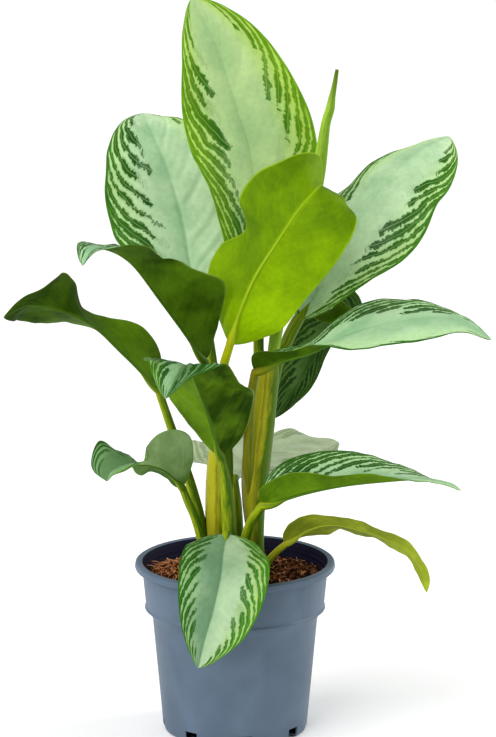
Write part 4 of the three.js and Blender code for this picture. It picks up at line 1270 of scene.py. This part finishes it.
def slot_tree():
    """Geometry nodes that cut a ring of drain slots through a pot's lower edge."""
    inputs = {"Slots": ("Int", 8), "Slot Size": ("Vector", None), "Ring Radius": ("Float", 50 * MM)}
    inputs |= {"Turn": ("Float", 0.0), "Skin": ("Material", None)}
    tree, add, given = new_tree("drain_slots", inputs)
    block = add("GeometryNodeMeshCube", {"Size": given["Slot Size"]})
    ring = add("GeometryNodeMeshCircle", {"Vertices": given["Slots"], "Radius": given["Ring Radius"]})
    spot = add("ShaderNodeSeparateXYZ", {0: add("GeometryNodeInputPosition")})
    heading = add("ShaderNodeMath", {0: spot.outputs[1], 1: spot.outputs[0]}, operation="ARCTAN2")
    outward = add("ShaderNodeCombineXYZ", {2: heading})
    blocks = add("GeometryNodeInstanceOnPoints", {"Points": ring, "Instance": block, "Rotation": outward})
    turn = add("ShaderNodeCombineXYZ", {2: given["Turn"]})
    turned = add("GeometryNodeTransform", {"Geometry": blocks, "Rotation": turn})
    solid = add("GeometryNodeRealizeInstances", {"Geometry": turned})
    cutters = add("GeometryNodeSetMaterial", {"Geometry": solid, "Material": given["Skin"]})
    cut = add(
        "GeometryNodeMeshBoolean",
        {"Mesh 1": given["Geometry"], "Mesh 2": cutters},
        operation="DIFFERENCE",
        solver="EXACT",
    )
    add("NodeGroupOutput", {0: cut})
    return tree


def make_pot():
    """The pot's wall, rim, collar and step ring, with drain slots cut through its lower edge."""
    outside = [
        (LID_RADIUS, 0),
        (BODY_FOOT_RADIUS - 3.5, 0),
        (BODY_FOOT_RADIUS - 1, 1.2),
        (BODY_FOOT_RADIUS, 4),
        (BODY_TOP_RADIUS, BODY_TOP_Z),
        (BODY_TOP_RADIUS + RING_STAND, BODY_TOP_Z + 4.5),
        (COLLAR_FOOT_RADIUS - 1, COLLAR_FOOT_Z - 2.5),
        (COLLAR_FOOT_RADIUS + BEAD, COLLAR_FOOT_Z - 1.2),
        (COLLAR_FOOT_RADIUS + BEAD, COLLAR_FOOT_Z - 0.5),
        (COLLAR_FOOT_RADIUS, COLLAR_FOOT_Z + 1),
        (COLLAR_TOP_RADIUS, POT_HEIGHT - RIM_DEPTH - 2.2),
        (RIM_RADIUS - RIM_ROUND, POT_HEIGHT - RIM_DEPTH),
        (RIM_RADIUS - RIM_ROUND / 4, POT_HEIGHT - RIM_DEPTH + RIM_ROUND / 3),
        (RIM_RADIUS, POT_HEIGHT - RIM_DEPTH + RIM_ROUND),
        (RIM_RADIUS - RIM_ROUND / 4, POT_HEIGHT - RIM_ROUND / 2),
        (RIM_RADIUS - RIM_ROUND, POT_HEIGHT),
        (RIM_RADIUS - RIM_WIDTH, POT_HEIGHT - 0.6),
    ]
    top_inside = RIM_RADIUS - RIM_WIDTH - 1
    inside = [
        (top_inside, POT_HEIGHT - 4),
        (top_inside - 0.2, POT_HEIGHT - 7),
        (top_inside - 0.9, POT_HEIGHT - 7.6),
        (top_inside - 1, POT_HEIGHT - 11),
        (top_inside - 1.7, POT_HEIGHT - 11.6),
        (COLLAR_FOOT_RADIUS - WALL, COLLAR_FOOT_Z),
        (BODY_TOP_RADIUS - WALL, BODY_TOP_Z),
        (BODY_FOOT_RADIUS - WALL, FLOOR),
        (LID_RADIUS, FLOOR),
    ]
    pot = lathe_object("nursery_pot", lathe_places(outside + inside, POT_SIDES), POT_SIDES)
    pot.data.materials.append(FINISH["pot"])
    pot.data.materials.append(FINISH["pot_inside"])
    # painted shade: the inside, from the rim's inner edge down to the inside lid, takes the dark finish
    dark = np.zeros(len(pot.data.polygons), int)
    dark[(len(outside) - 1) * POT_SIDES : -2] = 1  # the last two faces are the lids, underneath and inside
    dark[-1] = 1
    pot.data.polygons.foreach_set("material_index", dark)
    slots = {
        "Slots": SLOT_COUNT,
        "Slot Size": (SLOT_DEPTH * MM, SLOT_WIDTH * MM, 2 * SLOT_HEIGHT * MM),
        "Ring Radius": (BODY_FOOT_RADIUS - 3) * MM,
        "Turn": math.radians(SLOT_TURN),
        "Skin": FINISH["pot"],
    }
    pot = run_nodes(pot, slot_tree(), slots)
    pot.data.set_sharp_from_angle(angle=math.radians(SHARP_FROM))
    return pot


def litter_tree():
    """Geometry nodes that strew curled fibres and crumbs over a bed of soil."""
    inputs = {"Fibres per m2": ("Float", FIBRES_PER_M2), "Crumbs per m2": ("Float", CRUMBS_PER_M2)}
    inputs |= {"Lowest": ("Float", 0.1), "Reach": ("Float", 0.05)}
    inputs |= {"Fibre Skin": ("Material", None), "Crumb Skin": ("Material", None)}
    tree, add, given = new_tree("coir_litter", inputs)
    spot = add("GeometryNodeInputPosition")
    parts = add("ShaderNodeSeparateXYZ", {0: spot})
    flat = add("ShaderNodeVectorMath", {0: spot, 1: (1.0, 1.0, 0.0)}, operation="MULTIPLY")
    radius = add("ShaderNodeVectorMath", {0: flat}, operation="LENGTH").outputs["Value"]
    high = add("ShaderNodeMath", {0: parts.outputs[2], 1: given["Lowest"]}, operation="GREATER_THAN")
    within = add("ShaderNodeMath", {0: radius, 1: given["Reach"]}, operation="LESS_THAN")
    on_top = add("ShaderNodeMath", {0: high, 1: within}, operation="MULTIPLY")
    half = FIBRE_HALF_LENGTH * MM
    curled = {
        "Resolution": 6,
        "Start": (-half, 0.0, -0.8 * MM),
        "Start Handle": (-half / 2, 3.5 * MM, 1.5 * MM),
        "End Handle": (half / 2, -3 * MM, 2.5 * MM),
        "End": (half, 1 * MM, -0.5 * MM),
    }
    curl = add("GeometryNodeCurvePrimitiveBezierSegment", curled)
    section = add("GeometryNodeCurvePrimitiveCircle", {"Resolution": 4, "Radius": FIBRE_RADIUS * MM})
    fibre = add("GeometryNodeCurveToMesh", {"Curve": curl, "Profile Curve": section, "Fill Caps": True})
    crumb = add("GeometryNodeMeshIcoSphere", {"Radius": 1.0 * MM, "Subdivisions": 1})
    strewn = [given["Geometry"]]
    litter = (
        (fibre, "Fibres per m2", "Fibre Skin", 0.8, 0.5, 1.6),
        (crumb, "Crumbs per m2", "Crumb Skin", 3.0, 0.6, 2.8),
    )
    for seed, (shape, density, skin, tilt, small, large) in enumerate(litter, start=SEED):
        scatter = {"Mesh": given["Geometry"], "Selection": on_top, "Density": given[density], "Seed": seed}
        points = add("GeometryNodeDistributePointsOnFaces", scatter)
        turns = {0: (-tilt, -tilt, 0.0), 1: (tilt, tilt, 2 * math.pi), "Seed": seed}
        turn = add("FunctionNodeRandomValue", turns, data_type="FLOAT_VECTOR")
        size = add("FunctionNodeRandomValue", {2: small, 3: large, "Seed": seed}, data_type="FLOAT")
        laying = {"Points": points, "Instance": shape, "Rotation": turn, "Scale": size}
        spread = add("GeometryNodeInstanceOnPoints", laying)
        laid = add("GeometryNodeRealizeInstances", {"Geometry": spread})
        strewn.append(add("GeometryNodeSetMaterial", {"Geometry": laid, "Material": given[skin]}))
    joined = add("GeometryNodeJoinGeometry")
    for geometry in reversed(strewn):
        feed(joined, {0: geometry})
    add("NodeGroupOutput", {0: joined})
    return tree


def make_soil():
    """The soil's rough bed, up to the pot's wall."""
    edge = COLLAR_FOOT_RADIUS + SOIL_TUCK
    profile = [(BODY_TOP_RADIUS - 4, BODY_TOP_Z)]
    for i in range(SOIL_RINGS + 1):
        profile.append((edge * (1 - i / SOIL_RINGS) + SOIL_HUB * i / SOIL_RINGS, SOIL_Z))
    places = lathe_places(profile, SOIL_SIDES)
    rng = np.random.default_rng(SEED)
    x, y = places[:, 0] / MM, places[:, 1] / MM
    share = np.hypot(x, y) / edge
    waves = np.sin(x / 9 + y / 13) + np.sin(y / 7 - x / 17) + np.sin((x + y) / 5) / 2
    heaps = sum(
        height * np.exp(-((x - u) ** 2 + (y - v) ** 2) / HEAP_SPREAD)
        for u, v, height in SOIL_HEAPS + LOOSE_HEAPS
    )
    lift = (SOIL_MOUND * (waves / 4 + 0.5) + heaps) * (1 - share**16) + rng.normal(0, SOIL_GRAIN, len(x))
    top = places[:, 2] > (SOIL_Z - 1) * MM
    places[top, 2] += lift[top] * MM
    soil = lathe_object("coir_bed", places, SOIL_SIDES)
    soil.data.materials.append(FINISH["soil"])
    values = {
        "Fibres per m2": FIBRES_PER_M2,
        "Crumbs per m2": CRUMBS_PER_M2,
        "Lowest": (SOIL_Z - LITTER_BELOW) * MM,
        "Reach": (edge - LITTER_OFF_WALL) * MM,
        "Fibre Skin": FINISH["fibre"],
        "Crumb Skin": FINISH["crumb"],
    }
    return run_nodes(soil, litter_tree(), values)


finish_piece(make_pot(), "pot")
finish_piece(make_soil(), "soil")

# ---- floor, light and camera ----------------------------------------------------------------

FLOOR_HALF = 20.0
SENSOR = 36.0
LENS = 200.0
CAMERA_PLACE = (0.011, -3.353, 1.077)
CAMERA_DOWN = 12.82  # degrees that the camera looks down
SURROUNDINGS = 0.62  # strength of the white surroundings
SUN_POWER = 2.6
SUN_SPREAD = 65  # degrees: wide, so that shadows are soft
SIDE_POWER = 26


def make_floor():
    """A plain pale floor."""
    corners = [(-FLOOR_HALF, -FLOOR_HALF, 0), (FLOOR_HALF, -FLOOR_HALF, 0)]
    corners += [(FLOOR_HALF, FLOOR_HALF, 0), (-FLOOR_HALF, FLOOR_HALF, 0)]
    floor = mesh_object("floor", corners, [(0, 1, 2, 3)], smooth=False)
    material, _, shader = new_material("pale_studio_floor")
    feed(shader, {"Base Color": colour(0xFFFFFF), "Roughness": 0.9})
    floor.data.materials.append(material)


def add_light(name, kind, place, target, power, **settings):
    """A lamp that looks at a target."""
    light = bpy.data.lights.new(name, kind)
    light.energy = power
    for setting, value in settings.items():
        setattr(light, setting, value)
    lamp = new_object(name, light)
    lamp.location = place
    lamp.rotation_euler = (Vector(target) - Vector(place)).to_track_quat("-Z", "Y").to_euler()


def light_studio():
    """White surroundings, a broad key light from the left, and a softer one from the right behind."""
    world = bpy.data.worlds.new("white_studio")
    world.use_nodes = True
    feed(world.node_tree.nodes["Background"], {"Color": (1, 1, 1, 1), "Strength": SURROUNDINGS})
    bpy.context.scene.world = world
    middle = (0, 0, 0.3)
    add_light("key", "SUN", (-1.9, -1.7, 2.1), middle, SUN_POWER, angle=math.radians(SUN_SPREAD))
    add_light("rim", "AREA", (1.9, 0.5, 1.0), middle, SIDE_POWER, size=1.0)
    bpy.context.scene.view_settings.view_transform = "Standard"


def make_camera():
    """The photograph's viewpoint."""
    camera = bpy.data.cameras.new("camera")
    camera.lens = LENS
    camera.sensor_width = SENSOR
    camera.sensor_fit = "AUTO"
    camera.clip_end = 100
    holder = new_object("camera", camera)
    holder.location = CAMERA_PLACE
    holder.rotation_euler = (math.radians(90 - CAMERA_DOWN), 0, 0)
    bpy.context.scene.camera = holder


make_floor()
light_studio()
make_camera()
